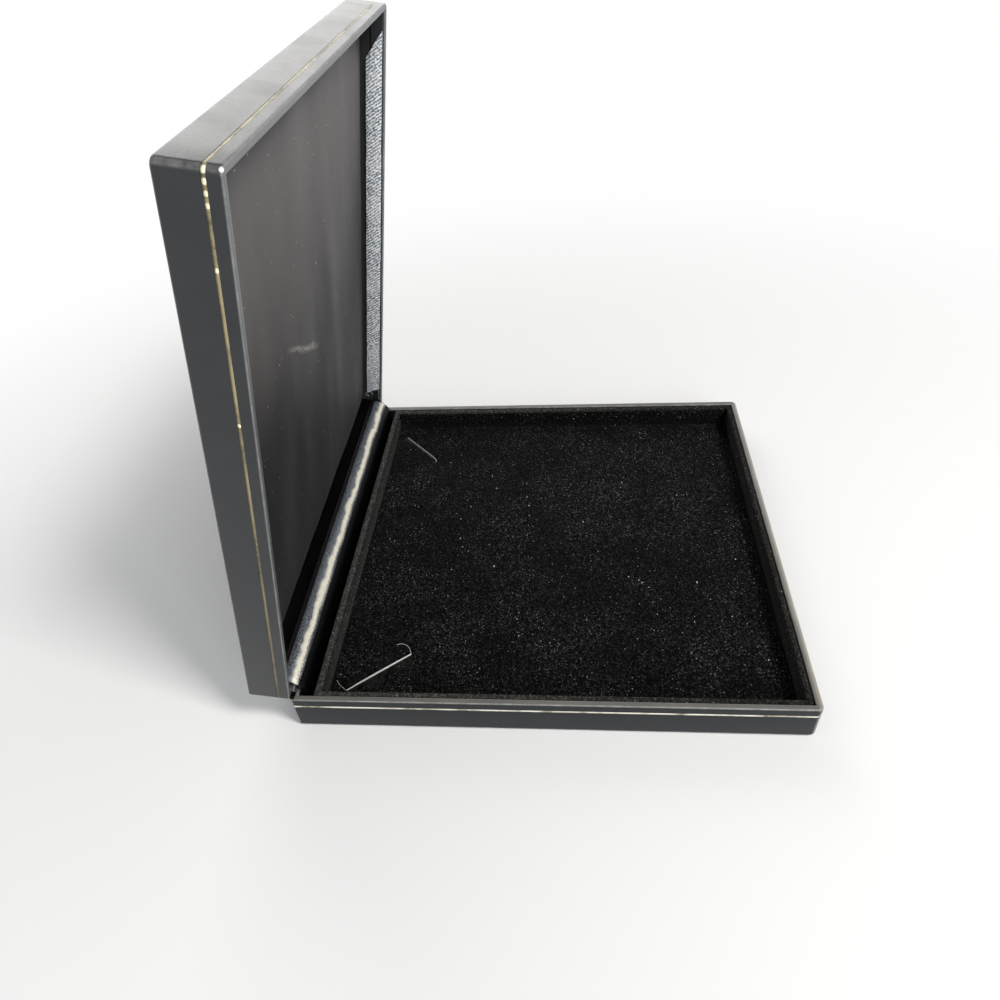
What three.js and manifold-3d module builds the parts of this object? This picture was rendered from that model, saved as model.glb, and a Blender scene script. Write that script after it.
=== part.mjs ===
import * as THREE from 'three';
import { mergeVertices } from 'three/addons/utils/BufferGeometryUtils.js';
import Module from 'manifold-3d';

// A leatherette-covered jewellery presentation box, standing open. Millimetres, +Z up.
// X runs along the hinge, the hinge edge is at +Y and the front edge at -Y.
// The origin is the centre of the underside, on the face that the box stands on.

// The whole box when closed
const boxLength = 190;
const boxDepth = 192;
const baseHeight = 16.6;
const lidHeight = 15.4;
const partingGap = 0.3;
const openDegrees = 79.8;

// The board shells and the leatherette glued round them
const wallBoard = 1.5;
const floorBoard = 1.8;
const skin = 0.4;
const glueLine = 0.1;
const wallCorner = 2.2;
const wrapRadius = 0.8;
const insideCorner = 0.3;
const baseTurnIn = 4;
const lidTurnIn = 6;
const hemWidth = 12;
const capInset = 2;

// The gilt line pressed into both skins, and the sheet under the base
const giltDrop = 4.1;
const giltWidth = 0.7;
const giltFoil = 0.1;
const grooveDepth = 0.2;
const grooveGap = 0.05;
const underSheet = 0.4;
const underSheetInset = 3;

// The velvet tray frame that lines the base
const velvet = 0.6;
const frameCard = 1;
const frameTopDrop = 0.5;
const frameRadius = 0.7;
const hingeChannel = 5.2;

// The velvet pad in the tray, with a tongue cut near each hinge corner
const padTop = 6;
const padBoard = 1.2;
const padFitGap = 0.3;
const padEdgeRadius = 0.5;
const slitLength = 27.7;
const slitArm = 8;
const slitWidth = 0.6;
const slitFromSide = 8.2;
const slitFromRear = 5.3;
const slitDegrees = 51;
const slitArmLean = 1.4;

// The satin-covered linings inside the lid walls
const liningCard = 1;
const liningRimDrop = 1.2;
const liningHeight = 8.4;
const sideLiningStart = 14;
const sideLiningSlant = 3.7;
const rearLiningDrop = 3.4;
const rearLiningHeight = 7;
const rearLiningFold = 0.3;

// The puffed satin pad inside the lid
const lidPadEdgeGap = 0.5;
const lidPadCrown = 3.9;
const lidPadBoard = 1.2;
const lidPadBoardInset = 3.4;
const lidPadSlack = 0.4;
const lidPadSatin = 0.4;
const lidPadFold = 0.22;
const lidPadFoldPitch = 47;
const lidPadSlantShare = 0.35;
const lidPadSquareness = 5;

// Two steel case hinges, each with knuckles on a pin, two leaves and two bow springs
const hingeFromEnd = 37;
const hingeLength = 46;
const knuckleCount = 5;
const knuckleRadius = 1.3;
const knuckleGap = 0.3;
const pinRadius = 0.7;
const pinClearance = 0.05;
const pinHeadRadius = 1.05;
const pinHead = 0.5;
const leafSheet = 0.5;
const leafHeight = 10;
const leafBend = 0.4;
const slotEndGap = 1.6;

// The bow springs that snap the lid open or shut
const bowSheet = 0.4;
const bowWidth = 5;
const bowFromEnd = 8;
const bowStandOff = 0.8;
const bowFoot = 8;
const bowSlotGap = 0.3;

// The tacks that pin the leaves to the boards
const tackShank = 0.5;
const tackHead = 1.2;
const tackHeadHeight = 0.4;
const tackBite = 1;
const tackClearance = 0.1;
const tackHeight = 6.6;
const tackFromEnd = 16;

// The satin that rolls over the hinge
const rollCloth = 0.6;
const rollStandOff = 0.6;
const rollEndGap = 1.3;
const rollFootGap = 0.4;
const rollLidReach = 5;
const rollWave = 0.3;
const rollWavePitch = 31;

// Shared finishing values
const cutOverrun = 1;
const mergeTolerance = 1e-5;
const cornerSteps = 4;
const bendSteps = 3;
const knuckleSteps = 14;
const pinSegments = 14;
const tackSegments = 8;
const lidPadSteps = 18;
const waddingSteps = 10;
const rollLengthSteps = 24;
const rollPathSteps = 8;

// Places worked out from the sizes above
const openAngle = THREE.MathUtils.degToRad(openDegrees);
const wallWidth = wallBoard + 2 * (skin + glueLine);
const wrap = skin + glueLine;
const baseFar = underSheet + glueLine;
const baseRim = baseHeight - partingGap / 2;
const baseFloor = baseFar + wrap + floorBoard;
const lidRim = partingGap / 2;
const lidFloor = lidHeight - wrap - floorBoard;
const hingeY = boxDepth / 2;
const hingeZ = baseHeight;
const hingeCentres = [hingeFromEnd - boxLength / 2, boxLength / 2 - hingeFromEnd];
const bowOffset = hingeLength / 2 - bowFromEnd;
const tackOffset = hingeLength / 2 - tackFromEnd;
const leafFace = wallWidth + glueLine;
const bowFace = leafFace + leafSheet + bowStandOff;
const rollFace = bowFace + bowSheet + rollStandOff;
const liningFace = rollFace + rollCloth + glueLine;
const baseOutline = { halfX: boxLength / 2, halfY: boxDepth / 2, radius: wallCorner, centreY: 0 };
const lidOutline = { halfX: boxLength / 2, halfY: boxDepth / 2, radius: wallCorner, centreY: -boxDepth / 2 };

const wasm = await Module();
wasm.setup();

// Colour, roughness and metalness of each finish
const finishes = {
  leatherette: { color: 0x23282c, roughness: 0.42, metalness: 0 },
  board: { color: 0x8c8577, roughness: 0.9, metalness: 0 },
  gilt: { color: 0xb08d3c, roughness: 0.35, metalness: 0.9 },
  paper: { color: 0x161718, roughness: 0.85, metalness: 0 },
  velvet: { color: 0x0b0b0c, roughness: 1, metalness: 0 },
  foam: { color: 0xd8d4c8, roughness: 1, metalness: 0 },
  satin: { color: 0x9aa3a8, roughness: 0.4, metalness: 0 },
  darkSatin: { color: 0x4b4642, roughness: 0.5, metalness: 0 },
  steel: { color: 0xa8a9a6, roughness: 0.35, metalness: 1 },
  springSteel: { color: 0x6f7478, roughness: 0.3, metalness: 1 },
};

// A named piece of one finish
function piece(name, geometry, finish) {
  const material = new THREE.MeshStandardMaterial({ ...finishes[finish], flatShading: true });
  const mesh = new THREE.Mesh(geometry, material);
  mesh.name = name;
  return mesh;
}

// A closed surface from shared points, turned so that its faces point out
function closedSurface(points, faces) {
  const geometry = new THREE.BufferGeometry().setFromPoints(points);
  const cross = new THREE.Vector3();
  const sixVolumes = faces.reduce(
    (sum, [a, b, c]) => sum + points[a].dot(cross.crossVectors(points[b], points[c])),
    0,
  );
  const outward = sixVolumes > 0 ? faces : faces.map(([a, b, c]) => [a, c, b]);
  geometry.setIndex(outward.flat());
  geometry.computeVertexNormals();
  return geometry;
}

// Geometry as a solid that can be joined and cut
function toSolid(geometry) {
  const bare = new THREE.BufferGeometry();
  bare.setAttribute('position', geometry.getAttribute('position').clone());
  if (geometry.index) {
    bare.setIndex(geometry.index.clone());
  }
  const merged = mergeVertices(bare, mergeTolerance);
  const vertProperties = new Float32Array(merged.getAttribute('position').array);
  const triVerts = new Uint32Array(merged.index.array);
  return new wasm.Manifold(new wasm.Mesh({ numProp: 3, vertProperties, triVerts }));
}

// A joined or cut solid back as geometry
function toGeometry(solid) {
  const { numProp, vertProperties, triVerts } = solid.getMesh();
  const geometry = new THREE.BufferGeometry();
  geometry.setAttribute('position', new THREE.BufferAttribute(Float32Array.from(vertProperties), numProp));
  geometry.setIndex(new THREE.BufferAttribute(Uint32Array.from(triVerts), 1));
  geometry.computeVertexNormals();
  return geometry;
}

function subtract(geometry, tools) {
  return toGeometry(tools.reduce((left, tool) => left.subtract(toSolid(tool)), toSolid(geometry)));
}

function join(geometries) {
  return toGeometry(geometries.map(toSolid).reduce((sum, solid) => sum.add(solid)));
}

// One level loop of a rounded rectangle, drawn in from its outline by an inset
function loopAt(outline, inset, height) {
  const halfX = outline.halfX - inset;
  const halfY = outline.halfY - inset;
  const radius = Math.max(outline.radius - inset, insideCorner);
  const points = [];
  for (let corner = 0; corner < 4; corner += 1) {
    const signX = corner === 0 || corner === 3 ? 1 : -1;
    const signY = corner < 2 ? 1 : -1;
    for (let step = 0; step <= cornerSteps; step += 1) {
      const angle = (corner + step / cornerSteps) * Math.PI / 2;
      const x = signX * (halfX - radius) + radius * Math.cos(angle);
      const y = outline.centreY + signY * (halfY - radius) + radius * Math.sin(angle);
      points.push(new THREE.Vector3(x, y, height));
    }
  }
  return points;
}

// A wall profile of [inset, height] points carried round the outline.
// A closed profile makes a frame, and an open one gets a flat cap at each end.
function carryRound(outline, profile, closed) {
  const loops = profile.map(({ x, y }) => loopAt(outline, x, y));
  const count = loops[0].length;
  const points = loops.flat();
  const faces = [];
  const rows = closed ? loops.length : loops.length - 1;
  for (let row = 0; row < rows; row += 1) {
    const above = (row + 1) % loops.length;
    for (let column = 0; column < count; column += 1) {
      const next = (column + 1) % count;
      faces.push([row * count + column, row * count + next, above * count + next]);
      faces.push([row * count + column, above * count + next, above * count + column]);
    }
  }
  if (!closed) {
    for (const row of [0, loops.length - 1]) {
      const centre = points.push(new THREE.Vector3(0, outline.centreY, profile[row].y)) - 1;
      for (let column = 0; column < count; column += 1) {
        const pair = [row * count + (column + 1) % count, row * count + column];
        faces.push([centre, ...(row === 0 ? pair : pair.reverse())]);
      }
    }
  }
  return closedSurface(points, faces);
}

// A path through right-angled corners, each rounded by its own radius
function bentPath(corners) {
  const path = [];
  corners.forEach(([x, y, radius = 0], index) => {
    const corner = new THREE.Vector2(x, y);
    if (radius === 0) {
      path.push(corner);
      return;
    }
    const before = new THREE.Vector2(...corners[index - 1]).sub(corner).normalize();
    const after = new THREE.Vector2(...corners[index + 1]).sub(corner).normalize();
    const centre = corner.clone().addScaledVector(before, radius).addScaledVector(after, radius);
    for (let step = 0; step <= bendSteps; step += 1) {
      const angle = step / bendSteps * Math.PI / 2;
      path.push(centre.clone()
        .addScaledVector(after, -radius * Math.cos(angle))
        .addScaledVector(before, -radius * Math.sin(angle)));
    }
  });
  return path;
}

// The leatherette's section: flat start, far edge, grooved side, rim and turn-in
function skinSection(far, rim, turnIn, startInset) {
  const up = Math.sign(rim - far);
  const line = rim - up * giltDrop;
  const inner = wrapRadius - skin;
  return {
    outside: bentPath([
      [startInset, far],
      [0, far, wrapRadius],
      [0, line - up * giltWidth / 2 - up * grooveGap],
      [grooveDepth, line - up * giltWidth / 2 - up * grooveGap],
      [grooveDepth, line + up * giltWidth / 2 + up * grooveGap],
      [0, line + up * giltWidth / 2 + up * grooveGap],
      [0, rim, wrapRadius],
      [wallWidth, rim, wrapRadius],
      [wallWidth, rim - up * turnIn],
    ]),
    inside: bentPath([
      [startInset, far + up * skin],
      [skin, far + up * skin, inner],
      [skin, rim - up * skin, inner],
      [wallWidth - skin, rim - up * skin, inner],
      [wallWidth - skin, rim - up * turnIn],
    ]),
  };
}

// The board shell's section: floor and wall inside the leatherette
function shellSection(far, rim) {
  const up = Math.sign(rim - far);
  const edge = wrapRadius - wrap;
  return bentPath([
    [capInset, far + up * wrap],
    [wrap, far + up * wrap, edge],
    [wrap, rim - up * wrap, edge],
    [wrap + wallBoard, rim - up * wrap, edge],
    [wrap + wallBoard, far + up * (wrap + floorBoard)],
    [wrap + wallBoard + capInset, far + up * (wrap + floorBoard)],
  ]);
}

// The foil ring that lies in the groove
function giltRing(outline, far, rim) {
  const line = rim - Math.sign(rim - far) * giltDrop;
  return carryRound(outline, bentPath([
    [grooveGap, line - giltWidth / 2],
    [grooveGap, line + giltWidth / 2],
    [grooveGap + giltFoil, line + giltWidth / 2],
    [grooveGap + giltFoil, line - giltWidth / 2],
  ]), true);
}

// A plate with a rounded-rectangle outline
function plate(outline, inset, low, high) {
  return carryRound(outline, bentPath([[inset, low], [inset, high]]), false);
}

// A box between two corners
function boxBetween(low, high) {
  const size = high.map((value, index) => value - low[index]);
  return new THREE.BoxGeometry(...size).translate(...low.map((value, index) => value + size[index] / 2));
}

// A section drawn across the hinge, as [Y, Z], pulled out along X
const acrossHinge = new THREE.Matrix4().makeBasis(
  new THREE.Vector3(0, 1, 0),
  new THREE.Vector3(0, 0, 1),
  new THREE.Vector3(1, 0, 0),
);

function pullAlongX(shape, fromX, toX) {
  const settings = { depth: toX - fromX, bevelEnabled: false };
  return new THREE.ExtrudeGeometry(shape, settings).applyMatrix4(acrossHinge).translate(fromX, 0, 0);
}

function shapeOf(path) {
  return new THREE.Shape(path);
}

// A solid between an outer and an inner sheet that share one grid
function sheetSolid(columns, rows, outer, inner) {
  const points = [];
  for (const surface of [outer, inner]) {
    for (let row = 0; row <= rows; row += 1) {
      for (let column = 0; column <= columns; column += 1) {
        points.push(surface(column / columns, row / rows));
      }
    }
  }
  const width = columns + 1;
  const at = (layer, column, row) => (layer * (rows + 1) + row) * width + column;
  const faces = [];
  const quad = (a, b, c, d) => faces.push([a, b, c], [a, c, d]);
  for (let row = 0; row < rows; row += 1) {
    for (let column = 0; column < columns; column += 1) {
      quad(at(0, column, row), at(0, column + 1, row), at(0, column + 1, row + 1), at(0, column, row + 1));
      quad(at(1, column, row), at(1, column, row + 1), at(1, column + 1, row + 1), at(1, column + 1, row));
    }
  }
  for (let column = 0; column < columns; column += 1) {
    quad(at(0, column + 1, 0), at(0, column, 0), at(1, column, 0), at(1, column + 1, 0));
    quad(at(0, column, rows), at(0, column + 1, rows), at(1, column + 1, rows), at(1, column, rows));
  }
  for (let row = 0; row < rows; row += 1) {
    quad(at(0, 0, row), at(0, 0, row + 1), at(1, 0, row + 1), at(1, 0, row));
    quad(at(0, columns, row + 1), at(0, columns, row), at(1, columns, row), at(1, columns, row + 1));
  }
  return closedSurface(points, faces);
}

// Hinge parts are drawn about the hinge axis with the box closed.
// The base side hangs below the axis, and the lid side is its mirror image.
const mirrorUp = new THREE.Matrix4().makeScale(1, 1, -1);

function onSide(geometry, side) {
  if (side === 'base') {
    return geometry;
  }
  const flipped = geometry.index ? geometry.toNonIndexed() : geometry.clone();
  flipped.applyMatrix4(mirrorUp);
  const position = flipped.getAttribute('position');
  const points = [];
  for (let index = 0; index < position.count; index += 1) {
    points.push(new THREE.Vector3().fromBufferAttribute(position, index));
  }
  const faces = points.filter((point, index) => index % 3 === 0).map((point, index) => {
    return [3 * index, 3 * index + 1, 3 * index + 2];
  });
  return closedSurface(points, faces);
}

// The clear slot through a rear wall where a hinge lies
function hingeSlot(centreX) {
  const reach = hingeLength / 2 + slotEndGap;
  const depth = knuckleRadius + knuckleGap;
  return boxBetween(
    [centreX - reach, -wallWidth - cutOverrun, -depth],
    [centreX + reach, cutOverrun, cutOverrun],
  );
}

// A tack lies along Y, its head against the leaf and its shank in the board
const tackSeat = -leafFace - leafSheet - glueLine;
const tackLength = leafSheet + glueLine + leafFace - wrap - wallBoard + tackBite;

function tack(centreX) {
  const profile = [
    new THREE.Vector2(0, -tackHeadHeight),
    new THREE.Vector2(tackHead / 2, -tackHeadHeight),
    new THREE.Vector2(tackHead, 0),
    new THREE.Vector2(tackShank, 0),
    new THREE.Vector2(tackShank, tackLength),
    new THREE.Vector2(0, tackLength),
  ];
  return new THREE.LatheGeometry(profile, tackSegments).translate(centreX, tackSeat, -tackHeight);
}

// The straight drill for a tack, through the leaf and into the board
function tackHole(centreX) {
  const radius = tackShank + tackClearance;
  const length = cutOverrun + tackLength + tackClearance;
  const drill = new THREE.CylinderGeometry(radius, radius, length, tackSegments);
  return drill.translate(centreX, tackSeat - cutOverrun + length / 2, -tackHeight);
}

const tackPlaces = hingeCentres.flatMap((centre) => [centre - tackOffset, centre + tackOffset]);

// Points along an arc about a centre
function arcPoints(centreX, centreY, radius, from, to, steps) {
  const points = [];
  for (let step = 0; step <= steps; step += 1) {
    const angle = from + (to - from) * step / steps;
    points.push(new THREE.Vector2(centreX + radius * Math.cos(angle), centreY + radius * Math.sin(angle)));
  }
  return points;
}

// The sheet of a leaf from its link over the board's edge down the inside of the rear wall
function leafSheetPoints() {
  const top = -knuckleRadius + leafSheet;
  const face = -leafFace - leafSheet;
  return [
    ...arcPoints(face + leafBend, top - leafBend, leafBend, Math.PI / 2, Math.PI, bendSteps),
    new THREE.Vector2(face, -leafHeight),
    new THREE.Vector2(-leafFace, -leafHeight),
    new THREE.Vector2(-leafFace, -knuckleRadius),
  ];
}

// The section through a knuckle: a barrel bored for the pin, rolled from the sheet
function knuckleSection() {
  const meet = Math.PI + Math.asin((knuckleRadius - leafSheet) / knuckleRadius);
  const barrel = arcPoints(0, 0, knuckleRadius, -Math.PI / 2, meet, knuckleSteps);
  const shape = new THREE.Shape([...barrel, ...leafSheetPoints()]);
  const boreRadius = pinRadius + pinClearance;
  shape.holes.push(new THREE.Path(arcPoints(0, 0, boreRadius, 2 * Math.PI, 0, knuckleSteps).slice(1)));
  return shape;
}

// The section between knuckles, cut back clear of the other leaf's barrels
function plainLeafSection() {
  const clear = -knuckleRadius - knuckleGap;
  return new THREE.Shape([
    new THREE.Vector2(clear, -knuckleRadius),
    new THREE.Vector2(clear, -knuckleRadius + leafSheet),
    ...leafSheetPoints(),
  ]);
}

// One leaf: odd knuckles belong to the lid, even ones to the base
function hingeLeaf(centreX, side) {
  const start = centreX - hingeLength / 2;
  const pitch = hingeLength / knuckleCount;
  const parts = [pullAlongX(plainLeafSection(), start, start + hingeLength)];
  for (let index = side === 'base' ? 0 : 1; index < knuckleCount; index += 2) {
    const from = start + index * pitch + (index === 0 ? 0 : knuckleGap / 2);
    const to = start + (index + 1) * pitch - (index === knuckleCount - 1 ? 0 : knuckleGap / 2);
    parts.push(pullAlongX(knuckleSection(), from, to));
  }
  const slotReach = bowWidth / 2 + bowSlotGap;
  const bowSlots = [-bowOffset, bowOffset].map((offset) => boxBetween(
    [centreX + offset - slotReach, -leafFace - leafSheet - cutOverrun, -bowFoot - bowSheet / 2 - bowSlotGap],
    [centreX + offset + slotReach, -leafFace + cutOverrun, -bowFoot + bowSheet / 2 + bowSlotGap],
  ));
  const holes = [centreX - tackOffset, centreX + tackOffset].map(tackHole);
  return onSide(subtract(join(parts), [...bowSlots, ...holes]), side);
}

// A pin with a domed head turned over at each end
function hingePin(centreX) {
  const half = hingeLength / 2 + knuckleGap;
  const profile = [
    new THREE.Vector2(0, -half - pinHead),
    new THREE.Vector2(pinHeadRadius * Math.SQRT1_2, -half - pinHead),
    new THREE.Vector2(pinHeadRadius, -half),
    new THREE.Vector2(pinRadius, -half),
    new THREE.Vector2(pinRadius, half),
    new THREE.Vector2(pinHeadRadius, half),
    new THREE.Vector2(pinHeadRadius * Math.SQRT1_2, half + pinHead),
    new THREE.Vector2(0, half + pinHead),
  ];
  return new THREE.LatheGeometry(profile, pinSegments).rotateZ(-Math.PI / 2).translate(centreX, 0, 0);
}

// A point beside the hinge at a distance from the wall line, part way round the open corner.
// From 0 to 1 it turns from the base wall's direction to the lid wall's.
function roundTheHinge(distance, turn) {
  const angle = Math.PI - turn * openAngle;
  return new THREE.Vector2(distance * Math.cos(angle), distance * Math.sin(angle));
}

// A path beside both leaves: up the base wall, round the open hinge and along the lid wall
function hingePath(distance, baseReach, lidReach, steps) {
  const path = [new THREE.Vector2(-distance, -baseReach)];
  for (let step = 0; step <= steps; step += 1) {
    path.push(roundTheHinge(distance, step / steps));
  }
  const along = new THREE.Vector2(Math.sin(openAngle), Math.cos(openAngle));
  path.push(roundTheHinge(distance, 1).addScaledVector(along, lidReach));
  return path;
}

// One bow spring: a flat strip with a foot hooked through each leaf
function bowSpring(centreX) {
  const footReach = bowFace - leafFace - glueLine;
  const outer = hingePath(bowFace + bowSheet, bowFoot + bowSheet / 2, bowFoot + bowSheet / 2, rollPathSteps);
  const inner = hingePath(bowFace, bowFoot - bowSheet / 2, bowFoot - bowSheet / 2, rollPathSteps);
  const lidNormal = new THREE.Vector2(Math.cos(openAngle), -Math.sin(openAngle));
  const baseNormal = new THREE.Vector2(1, 0);
  const first = [
    inner[0].clone().addScaledVector(baseNormal, footReach),
    outer[0].clone().addScaledVector(baseNormal, footReach + bowSheet),
  ];
  const last = [
    outer.at(-1).clone().addScaledVector(lidNormal, footReach + bowSheet),
    inner.at(-1).clone().addScaledVector(lidNormal, footReach),
  ];
  const outline = [first[1], ...outer, ...last, ...inner.reverse(), first[0]];
  return pullAlongX(shapeOf(outline), centreX - bowWidth / 2, centreX + bowWidth / 2);
}

// The satin roll over the hinge, slightly wavy along its length
function satinRoll() {
  const half = boxLength / 2 - wallWidth - rollEndGap;
  const baseReach = hingeZ - baseFloor - rollFootGap;
  const sheetAt = (cloth) => {
    const path = hingePath(rollFace + cloth, baseReach, rollLidReach, rollPathSteps);
    return (along, round) => {
      const x = half * (2 * along - 1);
      const place = round * (path.length - 1);
      const index = Math.min(Math.floor(place), path.length - 2);
      const point = path[index].clone().lerp(path[index + 1], place - index);
      const bulge = Math.sin(Math.PI * round) ** 2;
      const wave = rollWave * bulge * Math.sin(2 * Math.PI * (x / rollWavePitch));
      const slow = rollWave * bulge * Math.sin(Math.PI * (x / rollWavePitch));
      const outward = point.clone().normalize().multiplyScalar(Math.max(wave + slow, -rollStandOff / 2));
      return new THREE.Vector3(x, point.x + outward.x, point.y + outward.y);
    };
  };
  return sheetSolid(rollLengthSteps, rollPathSteps + 2, sheetAt(rollCloth), sheetAt(0));
}

// The base: board shell, leatherette, gilt line and the sheet underneath
const hingeSlots = hingeCentres.map(hingeSlot);
const baseSlots = hingeSlots.map((slot) => slot.clone().translate(0, hingeY, hingeZ));
const baseTackHoles = tackPlaces.map((place) => tackHole(place).translate(0, hingeY, hingeZ));
const baseSkin = skinSection(baseFar, baseRim, baseTurnIn, hemWidth);

const baseGroup = new THREE.Group();
baseGroup.add(
  piece('base_shell', subtract(
    carryRound(baseOutline, shellSection(baseFar, baseRim), false),
    [...baseSlots, ...baseTackHoles],
  ), 'board'),
  piece('base_leatherette', subtract(
    carryRound(baseOutline, [...baseSkin.outside, ...baseSkin.inside.reverse()], true),
    baseSlots,
  ), 'leatherette'),
  piece('base_gilt_line', giltRing(baseOutline, baseFar, baseRim), 'gilt'),
  piece('underside_sheet', plate(baseOutline, underSheetInset, 0, underSheet), 'paper'),
);

// The velvet tray frame stands on the board floor, clear of the hinge behind it
const frameWall = frameCard + 2 * (velvet + glueLine);
const frameFront = -boxDepth / 2 + wallWidth + glueLine;
const frameRear = boxDepth / 2 - wallWidth - hingeChannel;
const frameOutline = {
  halfX: boxLength / 2 - wallWidth - glueLine,
  halfY: (frameRear - frameFront) / 2,
  radius: wallCorner,
  centreY: (frameRear + frameFront) / 2,
};
const frameFoot = baseFloor + glueLine;
const frameTop = baseRim - frameTopDrop;
const velvetGlue = velvet + glueLine;
baseGroup.add(
  piece('tray_frame_velvet', carryRound(frameOutline, bentPath([
    [0, frameFoot],
    [0, frameTop, frameRadius],
    [frameWall, frameTop, frameRadius],
    [frameWall, frameFoot],
    [frameWall - velvet, frameFoot],
    [frameWall - velvet, frameTop - velvet],
    [velvet, frameTop - velvet],
    [velvet, frameFoot],
  ]), true), 'velvet'),
  piece('tray_frame_card', carryRound(frameOutline, bentPath([
    [velvetGlue, frameFoot],
    [velvetGlue, frameTop - velvetGlue],
    [velvetGlue + frameCard, frameTop - velvetGlue],
    [velvetGlue + frameCard, frameFoot],
  ]), true), 'board'),
);

// The cutter for one tongue: a long slit with an arm leaning out at each end
function tongueSlit(side) {
  const turn = THREE.MathUtils.degToRad(slitDegrees);
  const along = new THREE.Vector2(-side * Math.cos(turn), -Math.sin(turn));
  const across = new THREE.Vector2(-side * Math.sin(turn), Math.cos(turn));
  const corner = new THREE.Vector2(
    side * (frameOutline.halfX - frameWall - slitFromSide),
    frameRear - frameWall - slitFromRear,
  );
  const place = (run, rise) => corner.clone().addScaledVector(along, run).addScaledVector(across, rise);
  const outline = [
    place(-slitArmLean, slitArm),
    place(0, 0),
    place(slitLength, 0),
    place(slitLength + slitArmLean, slitArm),
    place(slitLength + slitArmLean - slitWidth, slitArm),
    place(slitLength - slitWidth, slitWidth),
    place(slitWidth, slitWidth),
    place(slitWidth - slitArmLean, slitArm),
  ];
  const settings = { depth: padTop, bevelEnabled: false };
  return new THREE.ExtrudeGeometry(shapeOf(outline), settings).translate(0, 0, baseFloor);
}

// The pad: velvet over board, on a layer of foam
const padOutline = {
  ...frameOutline,
  halfX: frameOutline.halfX - frameWall - padFitGap,
  halfY: frameOutline.halfY - frameWall - padFitGap,
};
const tongueSlits = [-1, 1].map(tongueSlit);
const padBoardTop = padTop - velvetGlue;
const padBoardFoot = padBoardTop - padBoard;
baseGroup.add(
  piece('pad_foam', plate(padOutline, velvetGlue, frameFoot, padBoardFoot - glueLine), 'foam'),
  piece('pad_board', subtract(plate(padOutline, velvetGlue, padBoardFoot, padBoardTop), tongueSlits), 'board'),
  piece('pad_velvet', subtract(carryRound(padOutline, bentPath([
    [capInset, padTop],
    [0, padTop, padEdgeRadius],
    [0, padBoardFoot],
    [velvet, padBoardFoot],
    [velvet, padTop - velvet],
    [capInset, padTop - velvet],
  ]), false), tongueSlits), 'velvet'),
);

// The hinge parts that stay with the base
const hingeGroup = new THREE.Group();
hingeGroup.position.set(0, hingeY, hingeZ);
const sideNames = ['left', 'right'];
hingeCentres.forEach((centre, index) => {
  hingeGroup.add(
    piece(`base_hinge_leaf_${sideNames[index]}`, hingeLeaf(centre, 'base'), 'steel'),
    piece(`hinge_pin_${sideNames[index]}`, hingePin(centre), 'steel'),
    piece(`bow_spring_${sideNames[index]}_outer`, bowSpring(centre + Math.sign(centre) * bowOffset), 'springSteel'),
    piece(`bow_spring_${sideNames[index]}_inner`, bowSpring(centre - Math.sign(centre) * bowOffset), 'springSteel'),
  );
});
tackPlaces.forEach((place, index) => {
  hingeGroup.add(piece(`base_hinge_tack_${index + 1}`, tack(place), 'steel'));
});
hingeGroup.add(piece('hinge_satin_roll', satinRoll(), 'satin'));

// The lid is drawn closed about the hinge axis and then turned open
const lidGroup = new THREE.Group();
lidGroup.position.set(0, hingeY, hingeZ);
lidGroup.rotation.x = -openAngle;
const lidSlots = hingeSlots.map((slot) => onSide(slot, 'lid'));
const lidTackHoles = tackPlaces.map((place) => onSide(tackHole(place), 'lid'));
const lidSkin = skinSection(lidHeight, lidRim, lidTurnIn, capInset);
lidGroup.add(
  piece('lid_shell', subtract(
    carryRound(lidOutline, shellSection(lidHeight, lidRim), false),
    [...lidSlots, ...lidTackHoles],
  ), 'board'),
  piece('lid_leatherette', subtract(
    carryRound(lidOutline, [...lidSkin.outside, ...lidSkin.inside.reverse()], false),
    lidSlots,
  ), 'leatherette'),
  piece('lid_gilt_line', giltRing(lidOutline, lidHeight, lidRim), 'gilt'),
);

// The wall linings: the side strips are cut on a slant at the hinge end
const liningLow = lidRim + liningRimDrop;
const liningOuter = wallWidth + glueLine;
const liningInner = liningOuter + liningCard;
const sideLiningShape = shapeOf([
  new THREE.Vector2(-sideLiningStart, liningLow),
  new THREE.Vector2(-sideLiningStart + sideLiningSlant, liningLow + liningHeight),
  new THREE.Vector2(-boxDepth + liningInner + glueLine, liningLow + liningHeight),
  new THREE.Vector2(-boxDepth + liningInner + glueLine, liningLow),
]);
const rearLiningLow = lidRim + rearLiningDrop;
const rearLiningShape = shapeOf(bentPath([
  [-liningFace, rearLiningLow + rearLiningHeight],
  [-liningFace, rearLiningLow, rearLiningFold],
  [-liningFace - liningCard, rearLiningLow, rearLiningFold],
  [-liningFace - liningCard, rearLiningLow + rearLiningHeight],
]));
const innerHalfX = boxLength / 2 - liningInner;
lidGroup.add(
  piece('lid_lining_left', pullAlongX(
    sideLiningShape, -boxLength / 2 + liningOuter, -boxLength / 2 + liningInner,
  ), 'satin'),
  piece('lid_lining_right', pullAlongX(
    sideLiningShape, boxLength / 2 - liningInner, boxLength / 2 - liningOuter,
  ), 'satin'),
  piece('lid_lining_front', boxBetween(
    [-boxLength / 2 + liningOuter, -boxDepth + liningOuter, liningLow],
    [boxLength / 2 - liningOuter, -boxDepth + liningInner, liningLow + liningHeight],
  ), 'satin'),
  piece('lid_lining_rear', pullAlongX(
    rearLiningShape, -innerHalfX + glueLine, innerHalfX - glueLine,
  ), 'satin'),
);

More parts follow.
